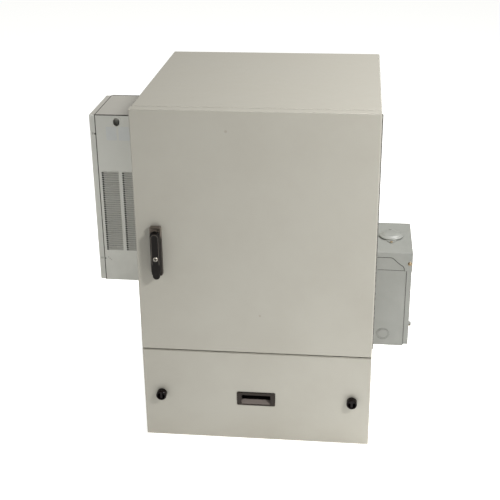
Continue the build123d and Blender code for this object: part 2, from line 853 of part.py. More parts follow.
export_step(pull_cup.part, "parts/pull_cup.step")

# Quarter-turn knobs with a driver bar inside a cup, and the pawls on their shafts
knob_back = pan_front - seat_gap
knob_face = knob_back - knob_length
pawl_front = frame_back + pawl_seat
pawl_back = pawl_front + pawl_thickness
pawl_reach = opening_half - pawl_end_gap - knob_x

for side, name in ((-1, "left"), (1, "right")):
    with BuildPart() as knob:
        with BuildSketch(front_plane(knob_back)):
            with Locations((side * knob_x, knob_height)):
                Circle(knob_radius)
        extrude(amount=knob_length)
        fillet(knob.faces().sort_by(Axis.Y)[0].edges(), knob_edge)
        with BuildSketch(front_plane(knob_face + knob_recess_depth)):
            with Locations((side * knob_x, knob_height)):
                Circle(knob_recess_radius)
        extrude(amount=knob_recess_depth, mode=Mode.SUBTRACT)
        with BuildSketch(front_plane(knob_face + knob_recess_depth)):
            with Locations((side * knob_x, knob_height)):
                Rectangle(knob_bar_width, 2 * knob_recess_radius)
        extrude(amount=knob_recess_depth - knob_bar_depth)
        with BuildSketch(front_plane(pawl_front)):
            with Locations((side * knob_x, knob_height)):
                Circle(knob_shaft_radius)
        extrude(amount=pawl_front - knob_back)
        with BuildSketch(front_plane(pawl_back)):
            with Locations((side * knob_x, knob_height)):
                Circle(hub_spigot_radius)
        extrude(amount=pawl_thickness)
    knob.part.label = f"knob_{name}"
    export_step(knob.part, f"parts/knob_{name}.step")

    with BuildPart() as pawl:
        with BuildSketch(front_plane(pawl_back)) as outline:
            with Locations((side * (knob_x + pawl_reach / 2), knob_height)):
                Rectangle(pawl_reach, pawl_width)
            far_side = -1 if side > 0 else 0
            chamfer(outline.vertices().group_by(Axis.X)[far_side], pawl_chamfer)
            with Locations((side * knob_x, knob_height)):
                Circle(pawl_width / 2)
            with Locations((side * knob_x, knob_height)):
                Circle(hub_spigot_radius, mode=Mode.SUBTRACT)
        extrude(amount=pawl_thickness)
    pawl.part.label = f"pawl_{name}"
    export_step(pawl.part, f"parts/pawl_{name}.step")

# Drawer tray: folded tray behind the drawer front, between the slides
slide_outside = opening_half
tray_half = slide_outside - slide_depth
tray_back = back - tray_back_gap

with BuildPart() as drawer_tray:
    with BuildSketch(Plane.XY.offset(tray_low)):
        with Locations((0, (pan_skin + tray_back) / 2)):
            Rectangle(2 * tray_half, tray_back - pan_skin)
    extrude(amount=tray_height)
    with BuildSketch(Plane.XY.offset(tray_low + sheet)):
        with Locations((0, (pan_skin + tray_back) / 2)):
            Rectangle(2 * (tray_half - sheet), tray_back - pan_skin - 2 * sheet)
    extrude(amount=tray_height - sheet, mode=Mode.SUBTRACT)
drawer_tray.part.label = "drawer_tray"
export_step(drawer_tray.part, "parts/drawer_tray.step")

# Telescopic slides: three nested channels on each side
slide_front = frame_back + pawl_end_gap
slide_back = slide_front + slide_length
slide_nest = slide_sheet + seat_gap
outer_web = slide_outside - slide_sheet / 2
middle_web = outer_web - slide_nest
inner_web = tray_half + slide_sheet / 2
outer_half = slide_height / 2
middle_half = outer_half - slide_nest
inner_half = middle_half - slide_nest


def slide_channel(side, web_x, edge_x, half_height):
    # The web stands at web_x and the two flanges run from it to edge_x
    with BuildPart() as member:
        with BuildSketch(front_plane(slide_back)):
            with Locations((side * web_x, slide_middle_height)):
                Rectangle(slide_sheet, 2 * half_height)
            with Locations((side * (web_x + edge_x) / 2, slide_middle_height)):
                with GridLocations(1, 2 * half_height - slide_sheet, 1, 2):
                    Rectangle(abs(edge_x - web_x), slide_sheet)
        extrude(amount=slide_length)
    return member.part


with BuildPart() as slide_outer_members:
    for side in (-1, 1):
        add(slide_channel(side, outer_web, tray_half + 2 * slide_sheet, outer_half))
slide_outer_members.part.label = "slide_outer_members"
export_step(slide_outer_members.part, "parts/slide_outer_members.step")

for side, name in ((-1, "left"), (1, "right")):
    with BuildPart() as slide_middle:
        add(slide_channel(side, middle_web, tray_half + slide_sheet + 2 * seat_gap, middle_half))
    slide_middle.part.label = f"slide_middle_{name}"
    export_step(slide_middle.part, f"parts/slide_middle_{name}.step")

with BuildPart() as slide_inner_members:
    for side in (-1, 1):
        add(slide_channel(side, inner_web, middle_web - slide_nest + slide_sheet / 2, inner_half))
slide_inner_members.part.label = "slide_inner_members"
export_step(slide_inner_members.part, "parts/slide_inner_members.step")

# Slide brackets: short tubes between the outer slide members and the side walls
with BuildPart() as slide_brackets:
    bracket_width = inner_width / 2 - slide_outside
    bracket_span = slide_length - lip_depth - slide_bracket_length
    for step in (0, 1, 2):
        bracket_back = slide_back - step * bracket_span / 2
        with BuildSketch(front_plane(bracket_back)):
            with Locations((0, slide_middle_height)):
                with GridLocations(2 * slide_outside + bracket_width, 1, 2, 1):
                    Rectangle(bracket_width, slide_bracket_height)
                    Rectangle(
                        bracket_width - 2 * sheet,
                        slide_bracket_height - 2 * sheet,
                        mode=Mode.SUBTRACT,
                    )
        extrude(amount=slide_bracket_length)
slide_brackets.part.label = "slide_brackets"
export_step(slide_brackets.part, "parts/slide_brackets.step")

# Rack rails: angles with square holes at the standard unit spacing
rail_face = front + rail_front_gap
rail_room = body_height - sheet - split_height - 2 * (rail_end_room + rail_margin)
rack_units = int(rail_room // rack_unit)
rail_length = rack_units * rack_unit + 2 * rail_margin
rail_low = (split_height + body_height - sheet - rail_length) / 2
rail_outer_edge = rail_inner_edge + rail_face_width

for side, name in ((-1, "left"), (1, "right")):
    with BuildPart() as rack_rail:
        with BuildSketch(front_plane(rail_face + sheet)):
            with Locations((side * (rail_inner_edge + rail_outer_edge) / 2, rail_low + rail_length / 2)):
                Rectangle(rail_face_width, rail_length)
        extrude(amount=sheet)
        with BuildSketch(front_plane(rail_face + rail_web)):
            with Locations((side * (rail_outer_edge - sheet / 2), rail_low + rail_length / 2)):
                Rectangle(sheet, rail_length)
        extrude(amount=rail_web)
        with BuildSketch(front_plane(rail_face + sheet)):
            for unit in range(rack_units):
                first = rail_low + rail_margin + unit * rack_unit + rack_hole_first
                with Locations((side * rack_hole_spacing / 2, first + rack_hole_step)):
                    with GridLocations(1, rack_hole_step, 1, 3):
                        Rectangle(rack_hole_side, rack_hole_side)
        extrude(amount=sheet, mode=Mode.SUBTRACT)
    rack_rail.part.label = f"rack_rail_{name}"
    export_step(rack_rail.part, f"parts/rack_rail_{name}.step")

# Side bars: channels from the side walls that carry the rack rails
with BuildPart() as rail_side_bars:
    bar_width = inner_width / 2 - rail_outer_edge
    for height in (rail_low + bar_inset, rail_low + rail_length - bar_inset):
        with BuildSketch(front_plane(rail_face + bar_length)):
            with Locations((0, height)):
                with GridLocations(2 * rail_outer_edge + bar_width, 1, 2, 1):
                    Rectangle(bar_width, bar_height)
            with Locations((0, height - sheet)):
                with GridLocations(2 * rail_outer_edge + bar_width, 1, 2, 1):
                    Rectangle(bar_width - 2 * sheet, bar_height, mode=Mode.SUBTRACT)
        extrude(amount=bar_length)
rail_side_bars.part.label = "rail_side_bars"
export_step(rail_side_bars.part, "parts/rail_side_bars.step")

# Ground bar on two posts at the back wall
with BuildPart() as ground_bar:
    ground_height = split_height + ground_bar_above
    with BuildSketch(front_plane(back - sheet - ground_post_length)):
        with Locations((0, ground_height)):
            Rectangle(ground_bar_length, ground_bar_height)
            with GridLocations(ground_bar_length / ground_hole_count, 1, ground_hole_count, 1):
                Circle(ground_hole_radius, mode=Mode.SUBTRACT)
    extrude(amount=ground_bar_thickness)
    with BuildSketch(front_plane(back - sheet)):
        with Locations((0, ground_height)):
            with GridLocations(ground_bar_length - 2 * ground_bar_height, 1, 2, 1):
                Circle(ground_post_radius)
    extrude(amount=ground_post_length)
ground_bar.part.label = "ground_bar"
export_step(ground_bar.part, "parts/ground_bar.step")

# Heat exchanger: everything is placed out from the cabinet's left side
exchanger_middle = exchanger_low + exchanger_height / 2
housing_inside = -half_width - exchanger_seal
exchanger_outside = -half_width - exchanger_depth
cover_inner_edge = exchanger_outside + cover_skirt
housing_outside = cover_inner_edge + cover_gap
collar_size = exchanger_sheet + collar_play

with BuildPart() as exchanger_seal_ring:
    with BuildSketch(side_plane(housing_inside)):
        with Locations((0, exchanger_middle)):
            Rectangle(exchanger_width, exchanger_height)
            Rectangle(
                exchanger_width - 2 * exchanger_seal_width,
                exchanger_height - 2 * exchanger_seal_width,
                mode=Mode.SUBTRACT,
            )
    extrude(amount=exchanger_seal)
exchanger_seal_ring.part.label = "exchanger_seal"
export_step(exchanger_seal_ring.part, "parts/exchanger_seal.step")

# Exchanger housing: folded box with two columns of formed louvres and an inset collar
exchanger_front = -exchanger_width / 2
louvre_first_x = housing_outside + louvre_side + louvre_width / 2
louvre_middle_x = louvre_first_x + louvre_column_pitch * (louvre_columns - 1) / 2
louvre_middle = louvre_low + louvre_pitch * (louvre_rows - 1) / 2

with BuildPart() as exchanger_housing:
    with BuildSketch(side_plane(housing_outside)):
        with Locations((0, exchanger_middle)):
            Rectangle(exchanger_width, exchanger_height)
    extrude(amount=housing_inside - housing_outside)
    with BuildSketch(side_plane(housing_outside)):
        with Locations((0, exchanger_middle)):
            Rectangle(exchanger_width - 2 * exchanger_sheet, exchanger_height - 2 * exchanger_sheet)
    extrude(amount=housing_inside - housing_outside - exchanger_sheet, mode=Mode.SUBTRACT)
    for outset, length in ((0, exchanger_sheet), (collar_size, -collar_depth)):
        with BuildSketch(side_plane(housing_outside)):
            with Locations((0, exchanger_middle)):
                Rectangle(exchanger_width - 2 * outset, exchanger_height - 2 * outset)
                Rectangle(
                    exchanger_width - 2 * collar_size - 2 * exchanger_sheet,
                    exchanger_height - 2 * collar_size - 2 * exchanger_sheet,
                    mode=Mode.SUBTRACT,
                )
        extrude(amount=length)
    with BuildSketch(front_plane(exchanger_front + exchanger_sheet)):
        with Locations((louvre_middle_x, louvre_middle)):
            with GridLocations(louvre_column_pitch, louvre_pitch, louvre_columns, louvre_rows):
                Rectangle(louvre_width, louvre_slot)
        with Locations((housing_outside + access_hole_from_edge, exchanger_top - access_hole_from_top)):
            Ellipse(access_hole_width / 2, access_hole_height / 2)
    extrude(amount=exchanger_sheet, mode=Mode.SUBTRACT)
    for column in range(louvre_columns):
        x = louvre_first_x + column * louvre_column_pitch - louvre_width / 2
        with BuildSketch(side_plane(x)):
            with Locations((exchanger_front, louvre_middle)):
                with GridLocations(1, louvre_pitch, 1, louvre_rows):
                    Polygon(
                        (louvre_blade, louvre_slot / 2 + louvre_blade),
                        (0, louvre_slot / 2 + louvre_blade),
                        (-louvre_reach, -louvre_slot / 2 + louvre_blade),
                        (-louvre_reach, -louvre_slot / 2),
                        (0, louvre_slot / 2),
                        (louvre_blade, louvre_slot / 2),
                        align=None,
                    )
        extrude(amount=louvre_width)
    with BuildSketch(side_plane(housing_inside - exchanger_sheet)):
        with Locations((0, cabin_port_height), (0, return_port_height)):
            with GridLocations(1, port_slot_pitch, 1, port_rows):
                Rectangle(port_slot_length, port_slot_height)
    extrude(amount=exchanger_sheet, mode=Mode.SUBTRACT)
    with BuildSketch(Plane.XY.offset(exchanger_low)):
        with Locations(((housing_outside + housing_inside) / 2, 0)):
            with GridLocations(1, port_slot_pitch, 1, port_rows):
                Rectangle(port_slot_length, port_slot_height)
    extrude(amount=exchanger_sheet, mode=Mode.SUBTRACT)
exchanger_housing.part.label = "exchanger_housing"
export_step(exchanger_housing.part, "parts/exchanger_housing.step")

# Exchanger cover: shallow pan over the outer side, pushed over the collar
with BuildPart() as exchanger_cover:
    with BuildSketch(side_plane(exchanger_outside)):
        with Locations((0, exchanger_middle)):
            Rectangle(exchanger_width, exchanger_height)
    extrude(amount=cover_skirt)
    fillet(exchanger_cover.edges().filter_by(Axis.X), cover_round)
    fillet(exchanger_cover.faces().sort_by(Axis.X)[0].edges(), bend_radius)
    with BuildSketch(side_plane(exchanger_outside + exchanger_sheet)):
        with Locations((0, exchanger_middle)):
            Rectangle(exchanger_width - 2 * exchanger_sheet, exchanger_height - 2 * exchanger_sheet)
    extrude(amount=cover_skirt - exchanger_sheet, mode=Mode.SUBTRACT)
exchanger_cover.part.label = "exchanger_cover"
export_step(exchanger_cover.part, "parts/exchanger_cover.step")

# Shelves between the air circuits, and the plate core that stands between them
shelf_low = louvre_low - louvre_pitch / 2 - shelf_clearance
shelf_high = louvre_low + (louvre_rows - 0.5) * louvre_pitch + shelf_clearance
core_middle_x = (housing_outside + housing_inside) / 2
shelf_length = housing_inside - housing_outside - 2 * exchanger_sheet

with BuildPart() as exchanger_shelves:
    with Locations((0, 0, shelf_low - exchanger_sheet), (0, 0, shelf_high)):
        with Locations((core_middle_x, 0, exchanger_sheet / 2)):
            Box(shelf_length, exchanger_width - 2 * exchanger_sheet, exchanger_sheet)
exchanger_shelves.part.label = "exchanger_shelves"
export_step(exchanger_shelves.part, "parts/exchanger_shelves.step")

with BuildPart() as exchanger_core:
    core_depth = exchanger_width - 2 * (exchanger_sheet + core_face_gap)
    with BuildSketch(front_plane(core_depth / 2)):
        with Locations((core_middle_x, (shelf_low + shelf_high) / 2)):
            Rectangle(core_width, shelf_high - shelf_low)
            with GridLocations(core_slot_pitch, 1, core_slots, 1):
                Rectangle(core_slot_width, shelf_high - shelf_low - 2 * core_end_wall, mode=Mode.SUBTRACT)
    extrude(amount=core_depth)
exchanger_core.part.label = "exchanger_core"
export_step(exchanger_core.part, "parts/exchanger_core.step")


# Fans: square frame with a motor spider, and a rotor whose twisted blades turn inside it
def fan_frame():
    with BuildPart() as frame:
        with BuildSketch():
            RectangleRounded(fan_size, fan_size, fan_corner)
            Circle(fan_bore_radius, mode=Mode.SUBTRACT)
        extrude(amount=fan_depth)
        with BuildSketch():
            Circle(fan_motor_radius)
            with PolarLocations(0, 2, start_angle=fan_arm_angle, angular_range=180):
                Rectangle(2 * fan_bore_radius + fan_arm_width, fan_arm_width)
            Circle(fan_shaft_radius + running_clearance, mode=Mode.SUBTRACT)
        extrude(amount=fan_spider)
    return frame.part


def fan_rotor():
    blade_height = (fan_spider + fan_depth) / 2
    with BuildPart() as blade:
        with BuildSketch(Plane.YZ.offset(fan_hub_radius - fan_blade_thickness)):
            with Locations((0, blade_height)):
                Rectangle(fan_blade_root, fan_blade_thickness, rotation=fan_pitch_root)
        with BuildSketch(Plane.YZ.offset(fan_bore_radius - fan_tip_gap)):
            with Locations((0, blade_height)):
                Rectangle(fan_blade_tip, fan_blade_thickness, rotation=fan_pitch_tip)
        loft()
    with BuildPart() as rotor:
        with BuildSketch(Plane.XY.offset(fan_spider + seat_gap)):
            Circle(fan_hub_radius)
        extrude(amount=fan_depth - fan_spider - fan_end_room)
        with BuildSketch(Plane.XY.offset(seat_gap)):
            Circle(fan_shaft_radius)
        extrude(amount=fan_spider)
        with PolarLocations(0, fan_blades):
            add(blade.part)
        with BuildSketch():
            Circle(fan_size)
            Circle(fan_bore_radius - fan_tip_gap, mode=Mode.SUBTRACT)
        extrude(amount=fan_depth, mode=Mode.SUBTRACT)
    return rotor.part


cabin_fan_place = Plane(
    origin=(housing_inside - exchanger_sheet, 0, cabin_port_height),
    x_dir=(0, 1, 0),
    z_dir=(-1, 0, 0),
)
ambient_fan_place = Plane(origin=(core_middle_x, 0, exchanger_low + exchanger_sheet))

with BuildPart() as cabin_fan_frame:
    add(fan_frame().moved(cabin_fan_place.location))
cabin_fan_frame.part.label = "cabin_fan_frame"
export_step(cabin_fan_frame.part, "parts/cabin_fan_frame.step")

with BuildPart() as cabin_fan_rotor:
    add(fan_rotor().moved(cabin_fan_place.location))
cabin_fan_rotor.part.label = "cabin_fan_rotor"
export_step(cabin_fan_rotor.part, "parts/cabin_fan_rotor.step")

with BuildPart() as ambient_fan_frame:
    add(fan_frame().moved(ambient_fan_place.location))
ambient_fan_frame.part.label = "ambient_fan_frame"
export_step(ambient_fan_frame.part, "parts/ambient_fan_frame.step")

with BuildPart() as ambient_fan_rotor:
    add(fan_rotor().moved(ambient_fan_place.location))
ambient_fan_rotor.part.label = "ambient_fan_rotor"
export_step(ambient_fan_rotor.part, "parts/ambient_fan_rotor.step")

# Exchanger screws: pan heads on the cover's skirt at front and back
with BuildPart() as exchanger_screws:
    for side in (-1, 1):
        for height in (exchanger_low + exchanger_screw_low, exchanger_top - exchanger_screw_high):
            x = exchanger_outside + cover_skirt / 2
            with BuildSketch(front_plane(side * exchanger_width / 2)):
                with Locations((x, height)):
                    Circle(screw_head_radius)
            extrude(amount=-side * screw_head_height)
exchanger_screws.part.label = "exchanger_screws"
export_step(exchanger_screws.part, "parts/exchanger_screws.step")

# Load centre: everything is placed out from the cabinet's right side
load_top = load_low + load_height
hood_front = half_width + load_depth
load_half = load_width / 2
box_half = load_half - load_sheet
box_edge = hood_front - cover_setback - cover_edge - box_edge_gap
pivot_x = hood_front - cover_setback - (cover_edge - 2 * load_sheet) / 2 - load_sheet / 2
cover_pivot_height = load_top - cover_pivot_drop

with BuildPart() as load_box:
    with BuildSketch(Plane.XY.offset(load_low)):
        with Locations(((half_width + box_edge) / 2, 0)):
            Rectangle(box_edge - half_width, 2 * box_half)
    extrude(amount=load_height - load_sheet)
    with BuildSketch(Plane.XY.offset(load_low + load_sheet)):
        with Locations(((half_width + load_sheet + box_edge) / 2, 0)):
            Rectangle(box_edge - half_width - load_sheet, 2 * (box_half - load_sheet))
    extrude(amount=load_height - load_sheet, mode=Mode.SUBTRACT)
    with BuildSketch(side_plane(half_width)):
        with Locations((nipple_offset, nipple_height)):
            Circle(nipple_radius)
    extrude(amount=load_sheet, mode=Mode.SUBTRACT)
    with BuildSketch(front_plane(-box_half + knockout_depth)):
        with Locations((half_width + knockout_inset, load_low + knockout_rise)):
            for radius in (knockout_outer_radius, knockout_radius):
                Circle(radius)
                Circle(radius - knockout_groove, mode=Mode.SUBTRACT)
    extrude(amount=knockout_depth, mode=Mode.SUBTRACT)
    with Locations(((half_width + box_edge) / 2, 0, load_top - seam_drop)):
        with GridLocations(1, 2 * box_half - knockout_depth, 1, 2):
            Box(box_edge - half_width, knockout_depth, knockout_groove, mode=Mode.SUBTRACT)
load_box.part.label = "load_box"
export_step(load_box.part, "parts/load_box.step")

# Hood: top sheet with skirts cut in a reverse curve, and a lip over the cover
with BuildPart() as load_hood:
    deep_edge = hood_front - skirt_step_in
    shallow = load_top - skirt_high
    with BuildSketch(front_plane(load_half)):
        with BuildLine():
            Polyline(
                (deep_edge, load_top - skirt_low),
                (hood_front, load_top - skirt_low),
                (hood_front, load_top),
                (half_width, load_top),
                (half_width, shallow),
                (hood_front - skirt_curve_start, shallow),
            )
            Spline(
                (hood_front - skirt_curve_start, shallow),
                (deep_edge - skirt_step_in / 2, (shallow + load_top - skirt_low) / 2),
                (deep_edge, load_top - skirt_low),
                tangents=((1, 0), skirt_step_end),
            )
        make_face()
    extrude(amount=load_width)
    with BuildSketch(Plane.XY.offset(load_low)):
        with Locations(((half_width + hood_front) / 2, 0)):
            Rectangle(load_depth, 2 * box_half)
    extrude(amount=load_height - load_sheet, mode=Mode.SUBTRACT)
    with BuildSketch(side_plane(hood_front - load_sheet)):
        with Locations((0, load_top - skirt_high / 2)):
            Rectangle(load_width, skirt_high)
    extrude(amount=load_sheet)
    fillet(load_hood.faces().sort_by(Axis.Z)[-1].edges().sort_by(Axis.X)[1:], load_sheet / 2)
    with BuildSketch(front_plane(load_half)):
        with Locations((pivot_x, cover_pivot_height)):
            Circle(cover_pivot_radius)
    extrude(amount=load_width, mode=Mode.SUBTRACT)
load_hood.part.label = "load_hood"
export_step(load_hood.part, "parts/load_hood.step")

# Load cover: pan with a padlock tab, hung on two pivot screws between the hood's skirts
with BuildPart() as load_cover:
    cover_face = hood_front - cover_setback
    cover_half = box_half - cover_side_play
    cover_low = load_low + cover_rise
    ear_radius = cover_face - pivot_x
    latch_low = cover_low + latch_under
    with BuildSketch(front_plane(cover_half)):
        with Locations((cover_face - cover_edge / 2, (cover_low + cover_pivot_height - ear_radius) / 2)):
            Rectangle(cover_edge, cover_pivot_height - ear_radius - cover_low)
        with Locations(((pivot_x + cover_face) / 2, cover_pivot_height - ear_radius / 2)):
            Rectangle(ear_radius, ear_radius)
        with Locations((pivot_x, cover_pivot_height)):
            Circle(ear_radius)
        with Locations((pivot_x, cover_pivot_height - ear_radius / 2)):
            Rectangle(2 * ear_radius, ear_radius)
    extrude(amount=2 * cover_half)
    with BuildSketch(side_plane(cover_face - load_sheet)):
        with Locations((0, cover_pivot_height + cover_top / 2)):
            Rectangle(2 * cover_half, cover_top)
    extrude(amount=load_sheet)
    inside_top = cover_pivot_height + ear_radius
    with BuildSketch(side_plane(cover_face - cover_edge)):
        with Locations((0, (cover_low + load_sheet + inside_top) / 2)):
            Rectangle(2 * (cover_half - load_sheet), inside_top - cover_low - load_sheet)
    extrude(amount=cover_edge - load_sheet, mode=Mode.SUBTRACT)
    with BuildSketch(front_plane(cover_half)):
        with Locations((pivot_x, cover_pivot_height)):
            Circle(cover_pivot_radius + running_clearance)
    extrude(amount=2 * cover_half, mode=Mode.SUBTRACT)
    with BuildSketch(front_plane(latch_width / 2)):
        with BuildLine():
            Polyline(
                (cover_face, latch_low),
                (cover_face + latch_reach, latch_low),
                (cover_face + latch_reach, latch_low + latch_lip),
                (cover_face + latch_crest, latch_low + latch_height),
                (cover_face, latch_low + latch_height),
                close=True,
            )
        make_face()
    extrude(amount=latch_width)
load_cover.part.label = "load_cover"
export_step(load_cover.part, "parts/load_cover.step")

# Captive screw of the cover, below its padlock tab
with BuildPart() as cover_screw:
    with BuildSketch(side_plane(cover_face)):
        with Locations((0, cover_low + latch_screw_rise)):
            Circle(latch_shank_radius)
    extrude(amount=latch_shank_length)
    with BuildSketch(side_plane(cover_face + latch_shank_length)):
        with Locations((0, cover_low + latch_screw_rise)):
            Circle(latch_screw_radius)
    extrude(amount=latch_screw_head)
    chamfer(cover_screw.faces().sort_by(Axis.X)[-1].edges(), knockout_groove)
cover_screw.part.label = "cover_screw"
export_step(cover_screw.part, "parts/cover_screw.step")

# Hub closure plate: rhombic plate with a pressed round dome, held by two screws
hub_x = half_width + hub_inset

with BuildPart() as hub_plate:
    with BuildSketch(Plane.XY.offset(load_top)) as rhombus:
        with Locations((hub_x, hub_back)):
            Polygon(
                (-hub_plate_half_x, 0),
                (0, -hub_plate_half_y),
                (hub_plate_half_x, 0),
                (0, hub_plate_half_y),
                align=None,
            )
        fillet(rhombus.vertices(), hub_plate_corner)
    extrude(amount=hub_plate_thickness)
    with BuildSketch(Plane.XY.offset(load_top)):
        with Locations((hub_x, hub_back)):
            Circle(hub_dome_radius)
    extrude(amount=hub_dome_height)
    fillet(hub_plate.faces().sort_by(Axis.Z)[-1].edges(), hub_dome_round)
hub_plate.part.label = "hub_plate"
export_step(hub_plate.part, "parts/hub_plate.step")

# Screws: two that the cover turns on, through the hood's skirts, and two in the hub plate
with BuildPart() as load_screws:
    for side in (-1, 1):
        with BuildSketch(front_plane(side * (cover_half - 2 * load_sheet))):
            with Locations((pivot_x, cover_pivot_height)):
                Circle(cover_pivot_radius)
        extrude(amount=-side * (load_half - cover_half + 2 * load_sheet))
        with BuildSketch(front_plane(side * load_half)):
            with Locations((pivot_x, cover_pivot_height)):
                Circle(cover_pivot_head_radius)
        extrude(amount=-side * cover_pivot_head)
    with BuildSketch(Plane.XY.offset(load_top + hub_plate_thickness)):
        with Locations((hub_x, hub_back)):
            with GridLocations(1, 2 * hub_screw_offset, 1, 2):
                Circle(hub_screw_radius)
    extrude(amount=hub_screw_head)
load_screws.part.label = "load_screws"
export_step(load_screws.part, "parts/load_screws.step")

# Mounting pan on four feet, two breakers on it, and the dead front around their noses
pan_back_x = half_width + load_sheet + pan_stand
breaker_back = pan_back_x + load_sheet
breaker_face = breaker_back + breaker_depth
breaker_centre = load_low + breaker_rise + breaker_height / 2

with BuildPart() as breaker_pan:
    with BuildSketch(side_plane(pan_back_x)):
        with Locations((0, load_low + pan_rise + pan_plate_height / 2)):
            Rectangle(2 * pan_half_width, pan_plate_height)
    extrude(amount=load_sheet)
    with BuildSketch(side_plane(half_width + load_sheet)):
        with Locations((0, load_low + pan_rise + pan_plate_height / 2)):
            with GridLocations(2 * pan_half_width - 2 * pan_stand, pan_plate_height - 2 * pan_stand, 2, 2):
                Rectangle(2 * pan_stand, 2 * pan_stand)
    extrude(amount=pan_stand)
breaker_pan.part.label = "breaker_pan"
export_step(breaker_pan.part, "parts/breaker_pan.step")

toggle_x = breaker_face + breaker_nose - toggle_drum_radius / 2

for side, name in ((-1, "left"), (1, "right")):
    breaker_y = side * breaker_width / 2
    with BuildPart() as breaker:
        with BuildSketch(side_plane(breaker_back)):
            with Locations((breaker_y, breaker_centre)):
                Rectangle(breaker_width, breaker_height)
        extrude(amount=breaker_depth)
        with BuildSketch(side_plane(breaker_face)):
            with Locations((breaker_y, breaker_centre)):
                Rectangle(breaker_width, breaker_nose_height)
        extrude(amount=breaker_nose)
        with BuildSketch(front_plane(breaker_y + toggle_width / 2 + toggle_play)):
            with Locations((toggle_x, breaker_centre)):
                Circle(toggle_drum_radius + toggle_play)
        extrude(amount=toggle_width + 2 * toggle_play, mode=Mode.SUBTRACT)
    breaker.part.label = f"breaker_{name}"
    export_step(breaker.part, f"parts/breaker_{name}.step")

    with BuildPart() as toggle:
        tilt = radians(toggle_tilt)
        with BuildSketch(front_plane(breaker_y + toggle_width / 2)):
            with Locations((toggle_x, breaker_centre)):
                Circle(toggle_drum_radius)
            reach = toggle_length / 2
            with Locations((toggle_x + reach * cos(tilt), breaker_centre + reach * sin(tilt))):
                Rectangle(toggle_length, toggle_thickness, rotation=toggle_tilt)
        extrude(amount=toggle_width)
    toggle.part.label = f"toggle_{name}"
    export_step(toggle.part, f"parts/toggle_{name}.step")

with BuildPart() as dead_front:
    with BuildSketch(side_plane(breaker_face)):
        with Locations((0, load_low + dead_front_rise + dead_front_height / 2)):
            Rectangle(2 * (box_half - load_sheet), dead_front_height)
        with Locations((0, breaker_centre)):
            Rectangle(
                2 * (breaker_width + dead_front_gap),
                breaker_nose_height + 2 * dead_front_gap,
                mode=Mode.SUBTRACT,
            )
    extrude(amount=load_sheet)
dead_front.part.label = "dead_front"
export_step(dead_front.part, "parts/dead_front.step")

with BuildPart() as neutral_bar:
    with BuildSketch(side_plane(breaker_back)):
        with Locations((neutral_offset, breaker_centre)):
            Rectangle(neutral_side, neutral_length)
            with GridLocations(1, 2 * neutral_side, 1, int(neutral_length / neutral_side / 2)):
                Circle(neutral_hole_radius, mode=Mode.SUBTRACT)
    extrude(amount=neutral_side)
neutral_bar.part.label = "neutral_bar"
export_step(neutral_bar.part, "parts/neutral_bar.step")

# Conduit fitting: a nipple through both walls with a locknut at each end
nipple_in = half_width - sheet - nipple_reach
nipple_out = half_width + load_sheet + nipple_reach

with BuildPart() as conduit_fitting:
    with BuildSketch(side_plane(nipple_in)):
        with Locations((nipple_offset, nipple_height)):
            Circle(nipple_radius)
            Circle(nipple_radius - nipple_wall, mode=Mode.SUBTRACT)
    extrude(amount=nipple_out - nipple_in)
    for x in (half_width - sheet - locknut_thickness, half_width + load_sheet):
        with BuildSketch(side_plane(x)):
            with Locations((nipple_offset, nipple_height)):
                RegularPolygon(locknut_radius, locknut_lobes)
                Circle(nipple_radius, mode=Mode.SUBTRACT)
        extrude(amount=locknut_thickness)
conduit_fitting.part.label = "conduit_fitting"
export_step(conduit_fitting.part, "parts/conduit_fitting.step")
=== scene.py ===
import math

import bmesh
import bpy
from mathutils import Matrix, Vector


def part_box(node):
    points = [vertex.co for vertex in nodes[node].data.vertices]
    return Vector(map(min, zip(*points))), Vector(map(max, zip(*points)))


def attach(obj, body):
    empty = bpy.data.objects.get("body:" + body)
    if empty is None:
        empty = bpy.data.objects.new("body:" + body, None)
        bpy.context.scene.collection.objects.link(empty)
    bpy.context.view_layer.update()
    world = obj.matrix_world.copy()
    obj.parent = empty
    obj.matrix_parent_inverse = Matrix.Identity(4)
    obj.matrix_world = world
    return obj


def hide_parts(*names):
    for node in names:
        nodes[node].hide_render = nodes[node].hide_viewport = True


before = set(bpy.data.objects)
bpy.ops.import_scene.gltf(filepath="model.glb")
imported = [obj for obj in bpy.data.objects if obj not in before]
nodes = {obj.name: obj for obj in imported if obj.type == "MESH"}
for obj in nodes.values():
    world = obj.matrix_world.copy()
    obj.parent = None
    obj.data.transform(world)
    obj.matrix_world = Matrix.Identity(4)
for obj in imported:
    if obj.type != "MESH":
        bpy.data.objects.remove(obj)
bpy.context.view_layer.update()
scene = bpy.context.scene
print("frame loaded:", len(nodes), "nodes")

# Camera, solved from the box edges in the photograph
cameraLook = {
    "place": (0.2474, -2.6505, 1.5832),
    "right": (0.9942, 0.1070, -0.0103),
    "up": (-0.0334, 0.3980, 0.9168),
    "back": (0.1022, -0.9111, 0.3993),
    "lens": 72.3,  # on a 36 mm sensor
}


def placeCamera(look):
    data = bpy.data.cameras.new("camera")
    data.lens = look["lens"]
    data.clip_end = 50
    camera = bpy.data.objects.new("camera", data)
    scene.collection.objects.link(camera)
    right, up, back = (Vector(look[name]).normalized() for name in ("right", "up", "back"))
    turn = Matrix((right, up, back)).transposed().to_4x4()
    camera.matrix_world = Matrix.Translation(look["place"]) @ turn
    scene.camera = camera


placeCamera(cameraLook)


def hexToLinear(code):
    channels = [int(code[i:i + 2], 16) / 255 for i in (1, 3, 5)]
    linear = [c / 12.92 if c <= 0.04045 else ((c + 0.055) / 1.055) ** 2.4 for c in channels]
    return (*linear, 1.0)


